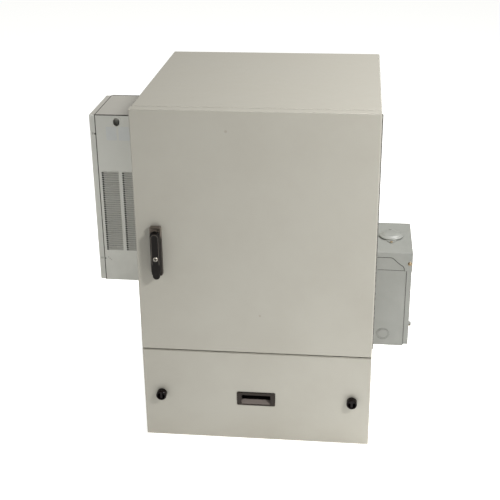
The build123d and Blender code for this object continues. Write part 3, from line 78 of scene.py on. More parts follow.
def addNode(tree, kind, inputs=None, **settings):
    node = tree.nodes.new(kind)
    for name, value in settings.items():
        setattr(node, name, value)
    for name, value in (inputs or {}).items():
        if isinstance(value, bpy.types.NodeSocket):
            tree.links.new(value, node.inputs[name])
        elif isinstance(value, list):  # a multi-input socket takes several links
            for part in value:
                tree.links.new(part, node.inputs[name])
        else:
            node.inputs[name].default_value = value
    return node


def newMaterial(name):
    material = bpy.data.materials.new(name)
    material.use_nodes = True
    tree = material.node_tree
    return material, tree, tree.nodes["Principled BSDF"]


def finishShader(tree, shader, place, colour, uneven, span, rough, scale, strength, depth):
    # an uneven gloss that follows the colour's own pattern, and a fine grain in the surface
    tree.links.new(colour, shader.inputs["Base Color"])
    gloss = addNode(tree, "ShaderNodeMapRange", {
        "Value": uneven, "From Min": span[0], "From Max": span[1], "To Min": rough[0], "To Max": rough[1],
    }).outputs["Result"]
    tree.links.new(gloss, shader.inputs["Roughness"])
    grain = addNode(tree, "ShaderNodeTexNoise", {"Vector": place, "Scale": scale, "Detail": 2.0})
    bump = addNode(tree, "ShaderNodeBump", {
        "Height": grain.outputs["Fac"], "Strength": strength, "Distance": depth,
    })
    tree.links.new(bump.outputs["Normal"], shader.inputs["Normal"])


# Powder coat over steel sheet: the baked grains leave a fine orange peel that breaks up the gloss,
# and weather leaves soft stains and a little dust low down; on the exchanger the low darkening is painted
# shade
paintLooks = {
    # beige-grey coat of the cabinet, gone slightly dull out of doors
    "cabinet": {
        "name": "powderCoatBeigeGrey", "colour": "#A29F95", "stain": "#969287", "dustAndShade": "#938A78",
        "roughness": 0.42, "peelMm": 2.6, "peelDepth": 0.05, "stainMm": 190, "stainAmount": 0.35,
        "dustAndShadeHeightMm": 90, "dustAndShadeAmount": 0.35,
    },
    # a lighter grey coat, darkened towards the bottom over its lower half with painted shade
    "exchanger": {
        "name": "powderCoatLightGrey", "colour": "#DDDDD5", "stain": "#D2D2CA", "dustAndShade": "#6B6961",
        "roughness": 0.45, "peelMm": 2.2, "peelDepth": 0.04, "stainMm": 120, "stainAmount": 0.30,
        "dustAndShadeHeightMm": 620, "dustAndShadeAmount": 1.2,
        # painted shade under the louvre blades and on the top face
        "louvreAndTopShade": {
            "colour": "#504E48", "share": 0.75, "wallY": -0.1, "low": 0.4525, "high": 0.6845,
            "line": 0.4540, "pitch": 0.0065, "half": 0.0014, "left": -0.4453, "width": 0.0468,
            "columnPitch": 0.0569, "topZ": 0.8455, "top": "#8F897F", "topShare": 0.62,
        },
    },
    # baked enamel: smoother and a little glossier than the powder
    "loadCentre": {
        "name": "bakedEnamelGrey", "colour": "#858681", "stain": "#797A75",
        "roughness": 0.33, "peelMm": 3.5, "peelDepth": 0.03, "stainMm": 60, "stainAmount": 0.40,
    },
    # the same powder where rain and sun never reach it, paler and more even
    "inside": {
        "name": "powderCoatInside", "colour": "#C6C5BD", "stain": "#B9B7AC", "dustAndShade": "#A39D8C",
        "roughness": 0.5, "peelMm": 2.6, "peelDepth": 0.05, "stainMm": 150, "stainAmount": 0.25,
        "dustAndShadeHeightMm": 40, "dustAndShadeAmount": 0.3,
    },
}


def paintedShadeLayers(tree, place, louvreAndTopShade):
    # painted shade: a dark line under every louvre blade, and a darker top face
    spot = addNode(tree, "ShaderNodeSeparateXYZ", {"Vector": place}).outputs
    rise = addNode(tree, "ShaderNodeMath", {0: spot["Z"], 1: louvreAndTopShade["line"]}, operation="SUBTRACT")
    away = addNode(tree, "ShaderNodeMath", {
        0: rise.outputs["Value"], 1: louvreAndTopShade["pitch"] / 2,
    }, operation="PINGPONG")
    line = addNode(tree, "ShaderNodeMapRange", {
        "Value": away.outputs["Value"], "From Min": louvreAndTopShade["half"] * 0.6, "From Max": louvreAndTopShade["half"] * 1.4,
        "To Min": louvreAndTopShade["share"], "To Max": 0.0,
    }).outputs["Result"]
    shift = addNode(tree, "ShaderNodeMath", {0: spot["X"], 1: louvreAndTopShade["left"]}, operation="SUBTRACT")
    across = addNode(tree, "ShaderNodeMath", {
        0: shift.outputs["Value"], 1: louvreAndTopShade["columnPitch"],
    }, operation="MODULO")
    for test, value, limit in (
        ("LESS_THAN", across.outputs["Value"], louvreAndTopShade["width"]), ("GREATER_THAN", spot["X"], louvreAndTopShade["left"]),
        ("LESS_THAN", spot["Y"], louvreAndTopShade["wallY"]), ("GREATER_THAN", spot["Z"], louvreAndTopShade["low"]),
        ("LESS_THAN", spot["Z"], louvreAndTopShade["high"]),
    ):
        mask = addNode(tree, "ShaderNodeMath", {0: value, 1: limit}, operation=test).outputs["Value"]
        line = addNode(tree, "ShaderNodeMath", {0: line, 1: mask}, operation="MULTIPLY").outputs["Value"]
    # painted shade: the top face is drawn darker
    onTop = addNode(tree, "ShaderNodeMath", {0: spot["Z"], 1: louvreAndTopShade["topZ"]}, operation="GREATER_THAN")
    shadedTop = addNode(tree, "ShaderNodeMath", {
        0: onTop.outputs["Value"], 1: louvreAndTopShade["topShare"],
    }, operation="MULTIPLY").outputs["Value"]
    return [(line, louvreAndTopShade["colour"]), (shadedTop, louvreAndTopShade["top"])]


def paintMaterial(look, marks=()):
    material, tree, shader = newMaterial(look["name"] + ("Marked" if marks else ""))
    place = addNode(tree, "ShaderNodeTexCoord").outputs["Object"]
    cloud = addNode(tree, "ShaderNodeTexNoise", {
        "Vector": place, "Scale": 1000 / look["stainMm"], "Detail": 5.0, "Roughness": 0.62,
    }).outputs["Fac"]
    stainShare = addNode(tree, "ShaderNodeMapRange", {
        "Value": cloud, "From Min": 0.38, "From Max": 0.72, "To Max": look["stainAmount"],
    }).outputs["Result"]
    layers = [(stainShare, look["stain"])]
    if "dustAndShade" in look:
        # darker low down: dust on the cabinet and inside, painted shade on the exchanger
        height = addNode(tree, "ShaderNodeSeparateXYZ", {"Vector": place}).outputs["Z"]
        low = addNode(tree, "ShaderNodeMapRange", {
            "Value": height, "From Max": look["dustAndShadeHeightMm"] / 1000,
            "To Min": look["dustAndShadeAmount"], "To Max": 0.0,
        }).outputs["Result"]
        dustAndShade = addNode(tree, "ShaderNodeMath", {0: low, 1: cloud}, operation="MULTIPLY").outputs["Value"]
        layers.append((dustAndShade, look["dustAndShade"]))
    if "louvreAndTopShade" in look:
        layers += paintedShadeLayers(tree, place, look["louvreAndTopShade"])
    for spot, radiusMm, strength, tint in marks:
        away = addNode(tree, "ShaderNodeVectorMath", {0: place, 1: spot}, operation="DISTANCE")
        share = addNode(tree, "ShaderNodeMapRange", {
            "Value": away.outputs["Value"], "From Min": radiusMm / 3000, "From Max": radiusMm / 1000,
            "To Min": strength, "To Max": 0.0,
        }, interpolation_type="SMOOTHSTEP").outputs["Result"]
        layers.append((share, tint))
    colour = hexToLinear(look["colour"])
    for share, tint in layers:
        colour = addNode(tree, "ShaderNodeMix", {
            "Factor": share, "A": colour, "B": hexToLinear(tint),
        }, data_type="RGBA").outputs["Result"]
    rough = (look["roughness"] - 0.04, look["roughness"] + 0.07)
    finishShader(tree, shader, place, colour, cloud, (0.3, 0.7), rough,
                 1000 / look["peelMm"], look["peelDepth"] * 4, look["peelDepth"] / 1000)
    return material


# Bare and plated metals: crystal patches and a fine grain, drawn coarser than real so that they show
metalLooks = {
    # barrel zinc plate: pale, even and a little dull
    "zinc": {
        "name": "zincPlatedSteel", "colour": "#B8BAB8", "dark": "#8F9290", "roughness": 0.38, "patchMm": 5,
    },
    # hot-dipped sheet: wide grey crystals
    "galvanised": {
        "name": "galvanisedSteelSheet", "colour": "#B3B6B6", "dark": "#979B9C",
        "roughness": 0.45, "patchMm": 14,
    },
    # stainless leaf in a shaded gap: dark and dull
    "hinge": {
        "name": "stainlessHingeLeaf", "colour": "#74736E", "dark": "#5A5955", "roughness": 0.5, "patchMm": 6,
    },
    # yellow passivation over zinc: a thin film of dull gold
    "yellowZinc": {
        "name": "yellowPassivatedSteel", "colour": "#A8967A", "dark": "#75634B",
        "roughness": 0.38, "patchMm": 3,
    },
    # rolled brass: warm and fairly bright
    "brass": {
        "name": "rolledBrassBar", "colour": "#C2A05A", "dark": "#A18243", "roughness": 0.32, "patchMm": 8,
    },
    # bright nickel: the sharpest reflections of them all
    "nickel": {
        "name": "brightNickelPlate", "colour": "#ABA69D", "dark": "#8A857C", "roughness": 0.22, "patchMm": 4,
    },
    # mill-finish aluminium: pale and silky
    "aluminium": {
        "name": "millFinishAluminium", "colour": "#C9CCCE", "dark": "#AEB2B5",
        "roughness": 0.36, "patchMm": 10,
    },
}


def metalMaterial(look):
    material, tree, shader = newMaterial(look["name"])
    place = addNode(tree, "ShaderNodeTexCoord").outputs["Object"]
    patch = addNode(tree, "ShaderNodeTexVoronoi", {"Vector": place, "Scale": 1000 / look["patchMm"]})
    shade = addNode(tree, "ShaderNodeSeparateColor", {"Color": patch.outputs["Color"]}).outputs["Red"]
    colour = addNode(tree, "ShaderNodeMix", {
        "Factor": shade, "A": hexToLinear(look["colour"]), "B": hexToLinear(look["dark"]),
    }, data_type="RGBA").outputs["Result"]
    rough = (look["roughness"] - 0.05, look["roughness"] + 0.08)
    finishShader(tree, shader, place, colour, shade, (0, 1), rough, 2500, 0.12, 0.0001)
    shader.inputs["Metallic"].default_value = 1.0
    return material


# Plastics, rubber and black coats: a moulded or sprayed grain and a slightly uneven gloss,
# with the grain drawn coarser than real so that it shows
plasticLooks = {
    # sprayed black on cast zinc: deep black with a dull sheen
    "handle": {
        "name": "blackPowderCoatedZinc", "colour": "#0E0B09", "light": "#15110E", "roughness": 0.34,
        "grainMm": 0.7, "grainDepth": 0.02, "specular": 0.16,
    },
    # glass-filled nylon: brown-black, with painted light on its sloped top
    "housing": {
        "name": "brownBlackGlassNylon", "colour": "#241D18", "light": "#2D2620", "roughness": 0.38,
        "grainMm": 0.7, "grainDepth": 0.02, "specular": 0.3,
        "litFrom": 0.596, "litTo": 0.606, "litTop": "#5E564D",
    },
    # painted highlight: a paler cord that stands for the light on the lever's rounded rim
    "rim": {
        "name": "paintedHighlightZinc", "colour": "#544C43", "light": "#635B50", "roughness": 0.3,
        "grainMm": 0.7, "grainDepth": 0.01,
    },
    # nylon from a polished mould: nearly black and glossy
    "knob": {
        "name": "glossBlackNylon", "colour": "#0C0606", "light": "#140B0A", "roughness": 0.12,
        "grainMm": 1.2, "grainDepth": 0.006, "specular": 0.12,
    },
    # moulded ABS: soft dark grey, with painted light on the ramp and painted shade in the throat
    "pull": {
        "name": "mouldedGreyAbs", "colour": "#1F1812", "light": "#261E17", "roughness": 0.45,
        "grainMm": 0.6, "grainDepth": 0.02, "specular": 0.25,
        "face": -0.3398, "rampTop": 0.1235, "litRamp": "#7C736D", "shadedThroat": "#0B0807",
    },
    # cellular rubber: matt black that swallows the light; the louvre ends and the door's top strip take it as
    # painted shade
    "rubber": {
        "name": "cellularRubberAndShade", "colour": "#161616", "light": "#232322", "roughness": 0.85,
        "grainMm": 0.9, "grainDepth": 0.15,
    },
    # painted shade: matt grey-black cord that stands for the shade in seams and grooves
    "shadeLine": {
        "name": "paintedShadeCord", "colour": "#34322D", "light": "#403D38", "roughness": 0.8,
        "grainMm": 0.8, "grainDepth": 0.05,
    },
    # polyester film: pale and smooth
    "label": {
        "name": "matPolyesterLabel", "colour": "#D3D5D2", "light": "#DBDDDA", "roughness": 0.5,
        "grainMm": 0.5, "grainDepth": 0.004,
    },
    # glass-filled nylon of the fans: an even, dull black
    "fan": {
        "name": "glassFilledNylon", "colour": "#131313", "light": "#1E1E1E", "roughness": 0.5,
        "grainMm": 0.8, "grainDepth": 0.03,
    },
    # phenolic moulding of the breakers: black with a harder gloss
    "breaker": {
        "name": "phenolicMoulding", "colour": "#191919", "light": "#232323", "roughness": 0.4,
        "grainMm": 0.8, "grainDepth": 0.02,
    },
}


def plasticMaterial(look):
    material, tree, shader = newMaterial(look["name"])
    place = addNode(tree, "ShaderNodeTexCoord").outputs["Object"]
    wide = addNode(tree, "ShaderNodeTexNoise", {"Vector": place, "Scale": 60.0, "Detail": 3.0}).outputs["Fac"]
    colour = addNode(tree, "ShaderNodeMix", {
        "Factor": wide, "A": hexToLinear(look["colour"]), "B": hexToLinear(look["light"]),
    }, data_type="RGBA").outputs["Result"]
    if "litTop" in look:
        # painted light: the sloped top of the housing is drawn paler
        height = addNode(tree, "ShaderNodeSeparateXYZ", {"Vector": place}).outputs["Z"]
        litShare = addNode(tree, "ShaderNodeMapRange", {
            "Value": height, "From Min": look["litFrom"], "From Max": look["litTo"],
        }).outputs["Result"]
        colour = addNode(tree, "ShaderNodeMix", {
            "Factor": litShare, "A": colour, "B": hexToLinear(look["litTop"]),
        }, data_type="RGBA").outputs["Result"]
    if "litRamp" in look:
        # painted light on the ramp of the finger pull, and painted shade in the throat above it
        spot = addNode(tree, "ShaderNodeSeparateXYZ", {"Vector": place}).outputs
        inside = addNode(tree, "ShaderNodeMath", {0: spot["Y"], 1: look["face"]}, operation="GREATER_THAN")
        low = addNode(tree, "ShaderNodeMapRange", {
            "Value": spot["Z"], "From Min": look["rampTop"], "From Max": look["rampTop"] + 0.001,
            "To Min": 1.0, "To Max": 0.0,
        }).outputs["Result"]
        rampLightAndThroatShade = addNode(tree, "ShaderNodeMix", {
            "Factor": low, "A": hexToLinear(look["shadedThroat"]), "B": hexToLinear(look["litRamp"]),
        }, data_type="RGBA").outputs["Result"]
        colour = addNode(tree, "ShaderNodeMix", {
            "Factor": inside.outputs["Value"], "A": colour, "B": rampLightAndThroatShade,
        }, data_type="RGBA").outputs["Result"]
    rough = (look["roughness"] - 0.03, look["roughness"] + 0.06)
    finishShader(tree, shader, place, colour, wide, (0.3, 0.7), rough,
                 1000 / look["grainMm"], 0.5, look["grainDepth"] / 1000)
    shader.inputs["Specular IOR Level"].default_value = look.get("specular", 0.5)
    return material


# Small scuffs and drips, and two dark spots of painted shade at notches: place, radius in millimetres,
# strength and colour
doorMarks = (
    ((-0.068, -0.338, 0.879), 5.0, 0.35, "#6F6A5E"),
    ((0.012, -0.338, 0.3835), 4.0, 0.35, "#6F6A5E"),
)
exchangerMarks = (
    # painted shade: the first two spots stand for the shade in two notches at the cover's edge
    ((-0.4557, -0.1015, 0.793), 3.4, 0.9, "#3E3C38"),
    ((-0.4523, -0.1015, 0.426), 3.4, 0.9, "#3E3C38"),
    ((-0.4430, -0.1015, 0.4300), 2.2, 0.6, "#6E6A60"),
    ((-0.4390, -0.1015, 0.4260), 2.4, 0.6, "#6E6A60"),
    ((-0.4350, -0.1015, 0.4220), 2.0, 0.6, "#6E6A60"),
)
cabinetPaint = paintMaterial(paintLooks["cabinet"])
doorPaint = paintMaterial(paintLooks["cabinet"], doorMarks)
exchangerPaint = paintMaterial(paintLooks["exchanger"], exchangerMarks)
loadPaint = paintMaterial(paintLooks["loadCentre"])
insidePaint = paintMaterial(paintLooks["inside"])
metals = {name: metalMaterial(look) for name, look in metalLooks.items()}
plastics = {name: plasticMaterial(look) for name, look in plasticLooks.items()}
print("materials made")

# The finish of every CAD node
finishes = (
    (cabinetPaint, ("cabinet_shell", "front_frame", "cabinet_floor", "drawer_front")),
    (doorPaint, ("main_door",)),
    (exchangerPaint, ("exchanger_housing", "exchanger_cover")),
    (loadPaint, ("load_box", "load_hood", "load_cover", "hub_plate", "dead_front")),
    (insidePaint, ("compartment_divider", "door_stiffeners", "drawer_tray", "rail_side_bars")),
    (metals["galvanised"], (
        "slide_brackets", "breaker_pan", "exchanger_shelves", "rack_rail_left", "rack_rail_right",
    )),
    (metals["zinc"], (
        "slide_outer_members", "slide_middle_left", "slide_middle_right", "slide_inner_members",
        "handle_pivot_pin", "latch_cam", "upper_rod", "lower_rod", "rod_guides", "pawl_left", "pawl_right",
        "exchanger_screws", "conduit_fitting",
    )),
    (metals["hinge"], ("hinge_body_leaf", "hinge_door_leaf", "hinge_pin")),
    (metals["aluminium"], ("exchanger_core",)),
    (metals["brass"], ("neutral_bar", "ground_bar")),
    (metals["yellowZinc"], ("load_screws", "cover_screw")),
    (metals["nickel"], ("lock_core",)),
    (plastics["handle"], ("handle_lever", "handle_hub")),
    (plastics["housing"], ("handle_housing",)),
    (plastics["knob"], ("knob_left", "knob_right")),
    (plastics["pull"], ("pull_cup",)),
    (plastics["rubber"], ("door_seal", "drawer_seal", "exchanger_seal")),
    (plastics["fan"], ("cabin_fan_frame", "cabin_fan_rotor", "ambient_fan_frame", "ambient_fan_rotor")),
    (plastics["breaker"], ("breaker_left", "breaker_right", "toggle_left", "toggle_right")),
)
for material, names in finishes:
    for name in names:
        node = nodes[name]
        if not node.material_slots:
            node.data.materials.append(material)
        for slot in node.material_slots:
            slot.material = material


# Shared makers for the pieces that Geometry Nodes grow
def newTree(name, inputs):
    tree = bpy.data.node_groups.new(name, "GeometryNodeTree")
    tree.interface.new_socket(name="Geometry", in_out="INPUT", socket_type="NodeSocketGeometry")
    for label, kind in inputs:
        tree.interface.new_socket(name=label, in_out="INPUT", socket_type="NodeSocket" + kind)
    tree.interface.new_socket(name="Finish", in_out="INPUT", socket_type="NodeSocketMaterial")
    tree.interface.new_socket(name="Geometry", in_out="OUTPUT", socket_type="NodeSocketGeometry")
    return tree, addNode(tree, "NodeGroupInput").outputs


def closeTree(tree, geometry, finish):
    whole = addNode(tree, "GeometryNodeRealizeInstances", {"Geometry": geometry}).outputs["Geometry"]
    dressed = addNode(tree, "GeometryNodeSetMaterial", {"Geometry": whole, "Material": finish})
    addNode(tree, "NodeGroupOutput", {"Geometry": dressed.outputs["Geometry"]})


def tidyMesh(mesh):
    shape = bmesh.new()
    shape.from_mesh(mesh)
    bmesh.ops.remove_doubles(shape, verts=shape.verts, dist=1e-6)
    bmesh.ops.recalc_face_normals(shape, faces=shape.faces)
    shape.to_mesh(mesh)
    shape.free()


def applyModifiers(piece):
    grown = bpy.data.meshes.new_from_object(piece.evaluated_get(bpy.context.evaluated_depsgraph_get()))
    piece.modifiers.clear()
    piece.data = grown
    tidyMesh(grown)


def growPiece(name, mesh, tree, values, body):
    piece = bpy.data.objects.new(name, mesh)
    scene.collection.objects.link(piece)
    modifier = piece.modifiers.new("grow", "NODES")
    modifier.node_group = tree
    for item in tree.interface.items_tree:
        if item.in_out == "INPUT" and item.name in values:
            modifier[item.identifier] = values[item.name]
    applyModifiers(piece)
    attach(piece, body)
    return piece


def meshPiece(name, shape, material, body):
    mesh = bpy.data.meshes.new(name)
    shape.to_mesh(mesh)
    shape.free()
    tidyMesh(mesh)
    mesh.materials.append(material)
    piece = bpy.data.objects.new(name, mesh)
    scene.collection.objects.link(piece)
    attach(piece, body)
    return piece


def cutAway(piece, cutter):
    mesh = bpy.data.meshes.new("cutter")
    cutter.to_mesh(mesh)
    cutter.free()
    tool = bpy.data.objects.new("cutter", mesh)
    scene.collection.objects.link(tool)
    cut = piece.modifiers.new("cut", "BOOLEAN")
    cut.operation = "DIFFERENCE"
    cut.solver = "EXACT"
    cut.use_self = True
    cut.object = tool
    applyModifiers(piece)
    bpy.data.objects.remove(tool)


def addBlock(shape, low, high):
    for vert in bmesh.ops.create_cube(shape, size=1.0)["verts"]:
        vert.co = Vector(low[i] + (high[i] - low[i]) * (vert.co[i] + 0.5) for i in range(3))


def extrudeOutline(shape, points, move):
    face = shape.faces.new([shape.verts.new(point) for point in points])
    for item in bmesh.ops.extrude_face_region(shape, geom=[face])["geom"]:
        if isinstance(item, bmesh.types.BMVert):
            item.co += Vector(move)


def solidBoxes(name):
    shape = bmesh.new()
    shape.from_mesh(nodes[name].data)
    bmesh.ops.remove_doubles(shape, verts=shape.verts, dist=1e-6)
    left = set(shape.verts)
    boxes = []
    while left:
        front = [left.pop()]
        low = high = front[0].co.copy()
        while front:
            here = front.pop()
            low, high = Vector(map(min, low, here.co)), Vector(map(max, high, here.co))
            for edge in here.link_edges:
                other = edge.other_vert(here)
                if other in left:
                    left.remove(other)
                    front.append(other)
        boxes.append((low, high))
    shape.free()
    return sorted(boxes, key=lambda box: tuple(box[0]))


# Screws: slotted hexagon heads with a washer, or round heads with a cross recess
def buildScrewTree():
    tree, given = newTree("screwHeads", (
        ("Sides", "Int"), ("Head Radius", "Float"), ("Head Height", "Float"), ("Washer Radius", "Float"),
        ("Washer Height", "Float"), ("Crown", "Float"), ("Slot Width", "Float"), ("Slot Depth", "Float"),
        ("Cross Length", "Float"), ("Shank Radius", "Float"), ("Shank Length", "Float"),
    ))

    def lifted(shape, height):
        place = addNode(tree, "ShaderNodeCombineXYZ", {"Z": height}).outputs["Vector"]
        moved = addNode(tree, "GeometryNodeTransform", {"Geometry": shape, "Translation": place})
        return moved.outputs["Geometry"]

    radius, height = given["Head Radius"], given["Head Height"]
    washerTop = given["Washer Height"]
    sizes = {}
    for label, operation, first, second in (
        ("wide", "MULTIPLY", radius, 1.35),  # foot of the cone that bevels the head's corners
        ("crown", "MULTIPLY", radius, given["Crown"]),
        ("top", "ADD", height, washerTop),
        ("deep", "MULTIPLY", given["Slot Depth"], 2.0),  # half of the cutter stands above the head
        ("across", "MULTIPLY", radius, 3.0),  # the cutter runs out past the head
        ("washerHalf", "MULTIPLY", washerTop, 0.5),
        ("shankHalf", "MULTIPLY", given["Shank Length"], -0.5),
    ):
        made = addNode(tree, "ShaderNodeMath", {0: first, 1: second}, operation=operation)
        sizes[label] = made.outputs["Value"]
    middle = addNode(tree, "ShaderNodeMath", {0: height, 1: 0.5, 2: washerTop}, operation="MULTIPLY_ADD")
    body, washer, shank = (
        addNode(tree, "GeometryNodeMeshCylinder", {
            "Vertices": sides, "Radius": wide, "Depth": tall,
        }).outputs["Mesh"]
        for sides, wide, tall in (
            (given["Sides"], radius, height), (32, given["Washer Radius"], washerTop),
            (20, given["Shank Radius"], given["Shank Length"]),
        )
    )
    cone = addNode(tree, "GeometryNodeMeshCone", {
        "Vertices": 32, "Radius Top": sizes["crown"], "Radius Bottom": sizes["wide"], "Depth": height,
    }).outputs["Mesh"]
    head = addNode(tree, "GeometryNodeMeshBoolean", {
        "Mesh 2": [lifted(body, middle.outputs["Value"]), lifted(cone, washerTop)],
    }, operation="INTERSECT").outputs["Mesh"]
    cuts = []
    for x, y in ((sizes["across"], given["Slot Width"]), (given["Slot Width"], given["Cross Length"])):
        size = addNode(tree, "ShaderNodeCombineXYZ", {"X": x, "Y": y, "Z": sizes["deep"]}).outputs["Vector"]
        cutter = addNode(tree, "GeometryNodeMeshCube", {"Size": size}).outputs["Mesh"]
        cuts.append(lifted(cutter, sizes["top"]))
    slotted = addNode(tree, "GeometryNodeMeshBoolean", {
        "Mesh 1": head, "Mesh 2": cuts,
    }, operation="DIFFERENCE").outputs["Mesh"]
    screw = addNode(tree, "GeometryNodeJoinGeometry", {"Geometry": [
        slotted, lifted(washer, sizes["washerHalf"]), lifted(shank, sizes["shankHalf"]),
    ]}).outputs["Geometry"]
    facing, turn, stretch = (
        addNode(tree, "GeometryNodeInputNamedAttribute", {"Name": label}, data_type=kind).outputs["Attribute"]
        for label, kind in (("facing", "FLOAT_VECTOR"), ("turn", "FLOAT"), ("stretch", "FLOAT_VECTOR"))
    )
    aimed = addNode(tree, "FunctionNodeAlignRotationToVector", {"Vector": facing}, axis="Z")
    twist = addNode(tree, "FunctionNodeAxisAngleToRotation", {"Axis": (0, 0, 1), "Angle": turn})
    turned = addNode(tree, "FunctionNodeRotateRotation", {
        "Rotation": aimed.outputs["Rotation"], "Rotate By": twist.outputs["Rotation"],
    }, rotation_space="LOCAL")
    placed = addNode(tree, "GeometryNodeInstanceOnPoints", {
        "Points": given["Geometry"], "Instance": screw, "Scale": stretch,
        "Rotation": turned.outputs["Rotation"],
    })
    closeTree(tree, placed.outputs["Instances"], given["Finish"])
    return tree


screwTree = buildScrewTree()


def makeScrews(name, look, spots, material, body):
    mesh = bpy.data.meshes.new(name)
    mesh.from_pydata([spot[0] for spot in spots], [], [])
    for label, kind, field, column in (
        ("facing", "FLOAT_VECTOR", "vector", 1), ("turn", "FLOAT", "value", 2),
        ("stretch", "FLOAT_VECTOR", "vector", 3),
    ):
        values = mesh.attributes.new(label, kind, "POINT")
        for item, spot in zip(values.data, spots):
            setattr(item, field, spot[column])
    return growPiece(name, mesh, screwTree, {**look, "Finish": material}, body)


# Each replaced screw sits where its CAD head is: the seat, the axis and the size come from its box
hexWasherScrew = {
    "Sides": 6, "Head Radius": 0.0042, "Head Height": 0.0018, "Crown": 0.86,
    "Washer Radius": 0.005, "Washer Height": 0.0004,
    "Slot Width": 0.0011, "Slot Depth": 0.0009, "Cross Length": 0.0011,
    "Shank Radius": 0.0023, "Shank Length": 0.004,
}
panCrossScrew = {
    "Sides": 28, "Head Radius": 0.0032, "Head Height": 0.0012, "Crown": 0.70,
    "Washer Radius": 0.0032, "Washer Height": 0.0003,
    "Slot Width": 0.0008, "Slot Depth": 0.0007, "Cross Length": 0.0040,
    "Shank Radius": 0.0015, "Shank Length": 0.001,
}
captiveScrew = {
    "Sides": 6, "Head Radius": 0.0042, "Head Height": 0.0055, "Crown": 0.88,
    "Washer Radius": 0.0045, "Washer Height": 0.001,
    "Slot Width": 0.0013, "Slot Depth": 0.0016, "Cross Length": 0.0013,
    "Shank Radius": 0.003, "Shank Length": 0.0115,
}


def screwSpot(box, axis, side, proud, radius, turn):
    low, high = box
    place = (low + high) / 2
    place[axis] = (high if side > 0 else low)[axis] - side * proud
    facing = Vector((0, 0, 0))
    facing[axis] = side
    wide = max((high - low)[i] for i in range(3) if i != axis) / 2 / radius
    return place, facing, turn, (wide, wide, 1.0)


def dressLoadScrews():
    # the rear screw of the hub closure was painted over with the box, the others keep their yellow film
    look = hexWasherScrew
    proud = look["Head Height"] + look["Washer Height"]
    plated, painted = [], []
    hubMiddle = (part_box("hub_plate")[0][1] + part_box("hub_plate")[1][1]) / 2
    for number, box in enumerate(solidBoxes("load_screws")):
        low, high = box
        turn = 0.5 + 0.9 * number
        if low.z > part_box("load_hood")[1][2]:
            tall = high.z - low.z
            place, facing, turn, (wide, _, _) = screwSpot(box, 2, 1, tall, look["Washer Radius"], turn)
            spots = painted if low.y > hubMiddle else plated
            spots.append((place, facing, turn, (wide, wide, tall / proud)))
        else:
            side = 1 if low.y > 0 else -1
            plated.append(screwSpot(box, 1, side, proud, look["Washer Radius"], turn))
    for name, spots, material in (
        ("loadCentreScrews", plated, metals["yellowZinc"]), ("hubPaintedScrew", painted, loadPaint),
    ):
        screws = makeScrews(name, look, spots, material, "cabinet")
        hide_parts("load_screws")


def dressCoverScrew():
    look = captiveScrew
    box = solidBoxes("cover_screw")[0]
    spot = screwSpot(box, 0, 1, look["Head Height"] + look["Washer Height"], look["Washer Radius"], 0.35)
    screw = makeScrews("coverCaptiveScrew", look, [spot], metals["yellowZinc"], "load_door")
    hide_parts("cover_screw")


def dressExchangerScrews():
    look = panCrossScrew
    proud = look["Head Height"] + look["Washer Height"]
    spots = [
        screwSpot(box, 1, 1 if box[0].y > 0 else -1, proud, look["Washer Radius"], 0.7 * number)
        for number, box in enumerate(solidBoxes("exchanger_screws"))
    ]
    screws = makeScrews("exchangerCoverScrews", look, spots, exchangerPaint, "cabinet")
    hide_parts("exchanger_screws")


# Ground bar: a screw over each of its holes
groundBarLook = {"holes": 8, "headRadius": 0.0045, "turn": 0.4, "tall": 1.2}


def dressGroundBar():
    low, high = (Vector(corner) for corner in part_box("ground_bar"))
    pitch = (high.x - low.x) / groundBarLook["holes"]
    scale = groundBarLook["headRadius"] / panCrossScrew["Washer Radius"]
    spots = [
        ((low.x + (number + 0.5) * pitch, low.y, (low.z + high.z) / 2), (0, -1, 0),
         groundBarLook["turn"] * number, (scale, scale, groundBarLook["tall"]))
        for number in range(groundBarLook["holes"])
    ]
    makeScrews("groundBarScrews", panCrossScrew, spots, metals["zinc"], "cabinet")


dressLoadScrews()
dressCoverScrew()
dressExchangerScrews()
dressGroundBar()
print("screws made")

# Hinge rivets: low domes in a line down both leaves, staggered so that they pass each other
rivetLook = {
    "pitch": 0.0762, "radius": 0.0026, "height": 0.00042, "fromEdge": 0.0055, "margin": 0.03, "leaf": 0.001,
}


def buildRivetTree():
    tree, given = newTree("hingeRivets", (
        ("Count", "Int"), ("First", "Vector"), ("Step", "Vector"), ("Radius", "Float"),
        ("Flatness", "Vector"),
    ))
    line = addNode(tree, "GeometryNodeMeshLine", {
        "Count": given["Count"], "Start Location": given["First"], "Offset": given["Step"],
    }).outputs["Mesh"]
    dome = addNode(tree, "GeometryNodeMeshUVSphere", {
        "Segments": 16, "Rings": 8, "Radius": given["Radius"],
    }).outputs["Mesh"]
    placed = addNode(tree, "GeometryNodeInstanceOnPoints", {
        "Points": line, "Instance": dome, "Scale": given["Flatness"],
    })
    closeTree(tree, placed.outputs["Instances"], given["Finish"])
    return tree


def makeRivets():
    look = rivetLook
    tree = buildRivetTree()
    flat = look["height"] / look["radius"]
    # the leaves lie against these two faces
    frameFace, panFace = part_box("front_frame")[0][1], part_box("main_door")[1][1]
    for name, nodeName, body, y, late in (
        ("bodyLeafRivets", "hinge_body_leaf", "cabinet", frameFace - look["leaf"], 0),
        ("doorLeafRivets", "hinge_door_leaf", "door", panFace + look["leaf"], 0.5),
    ):
        low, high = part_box(nodeName)
        first = low[2] + look["margin"] + late * look["pitch"]
        count = int((high[2] - look["margin"] - first) / look["pitch"]) + 1
        rivets = growPiece(name, bpy.data.meshes.new(name), tree, {
            "Count": count, "First": (low[0] + look["fromEdge"], y, first), "Step": (0, 0, look["pitch"]),
            "Radius": look["radius"], "Flatness": (1, flat, 1), "Finish": metals["zinc"],
        }, body)


makeRivets()
print("rivets made")

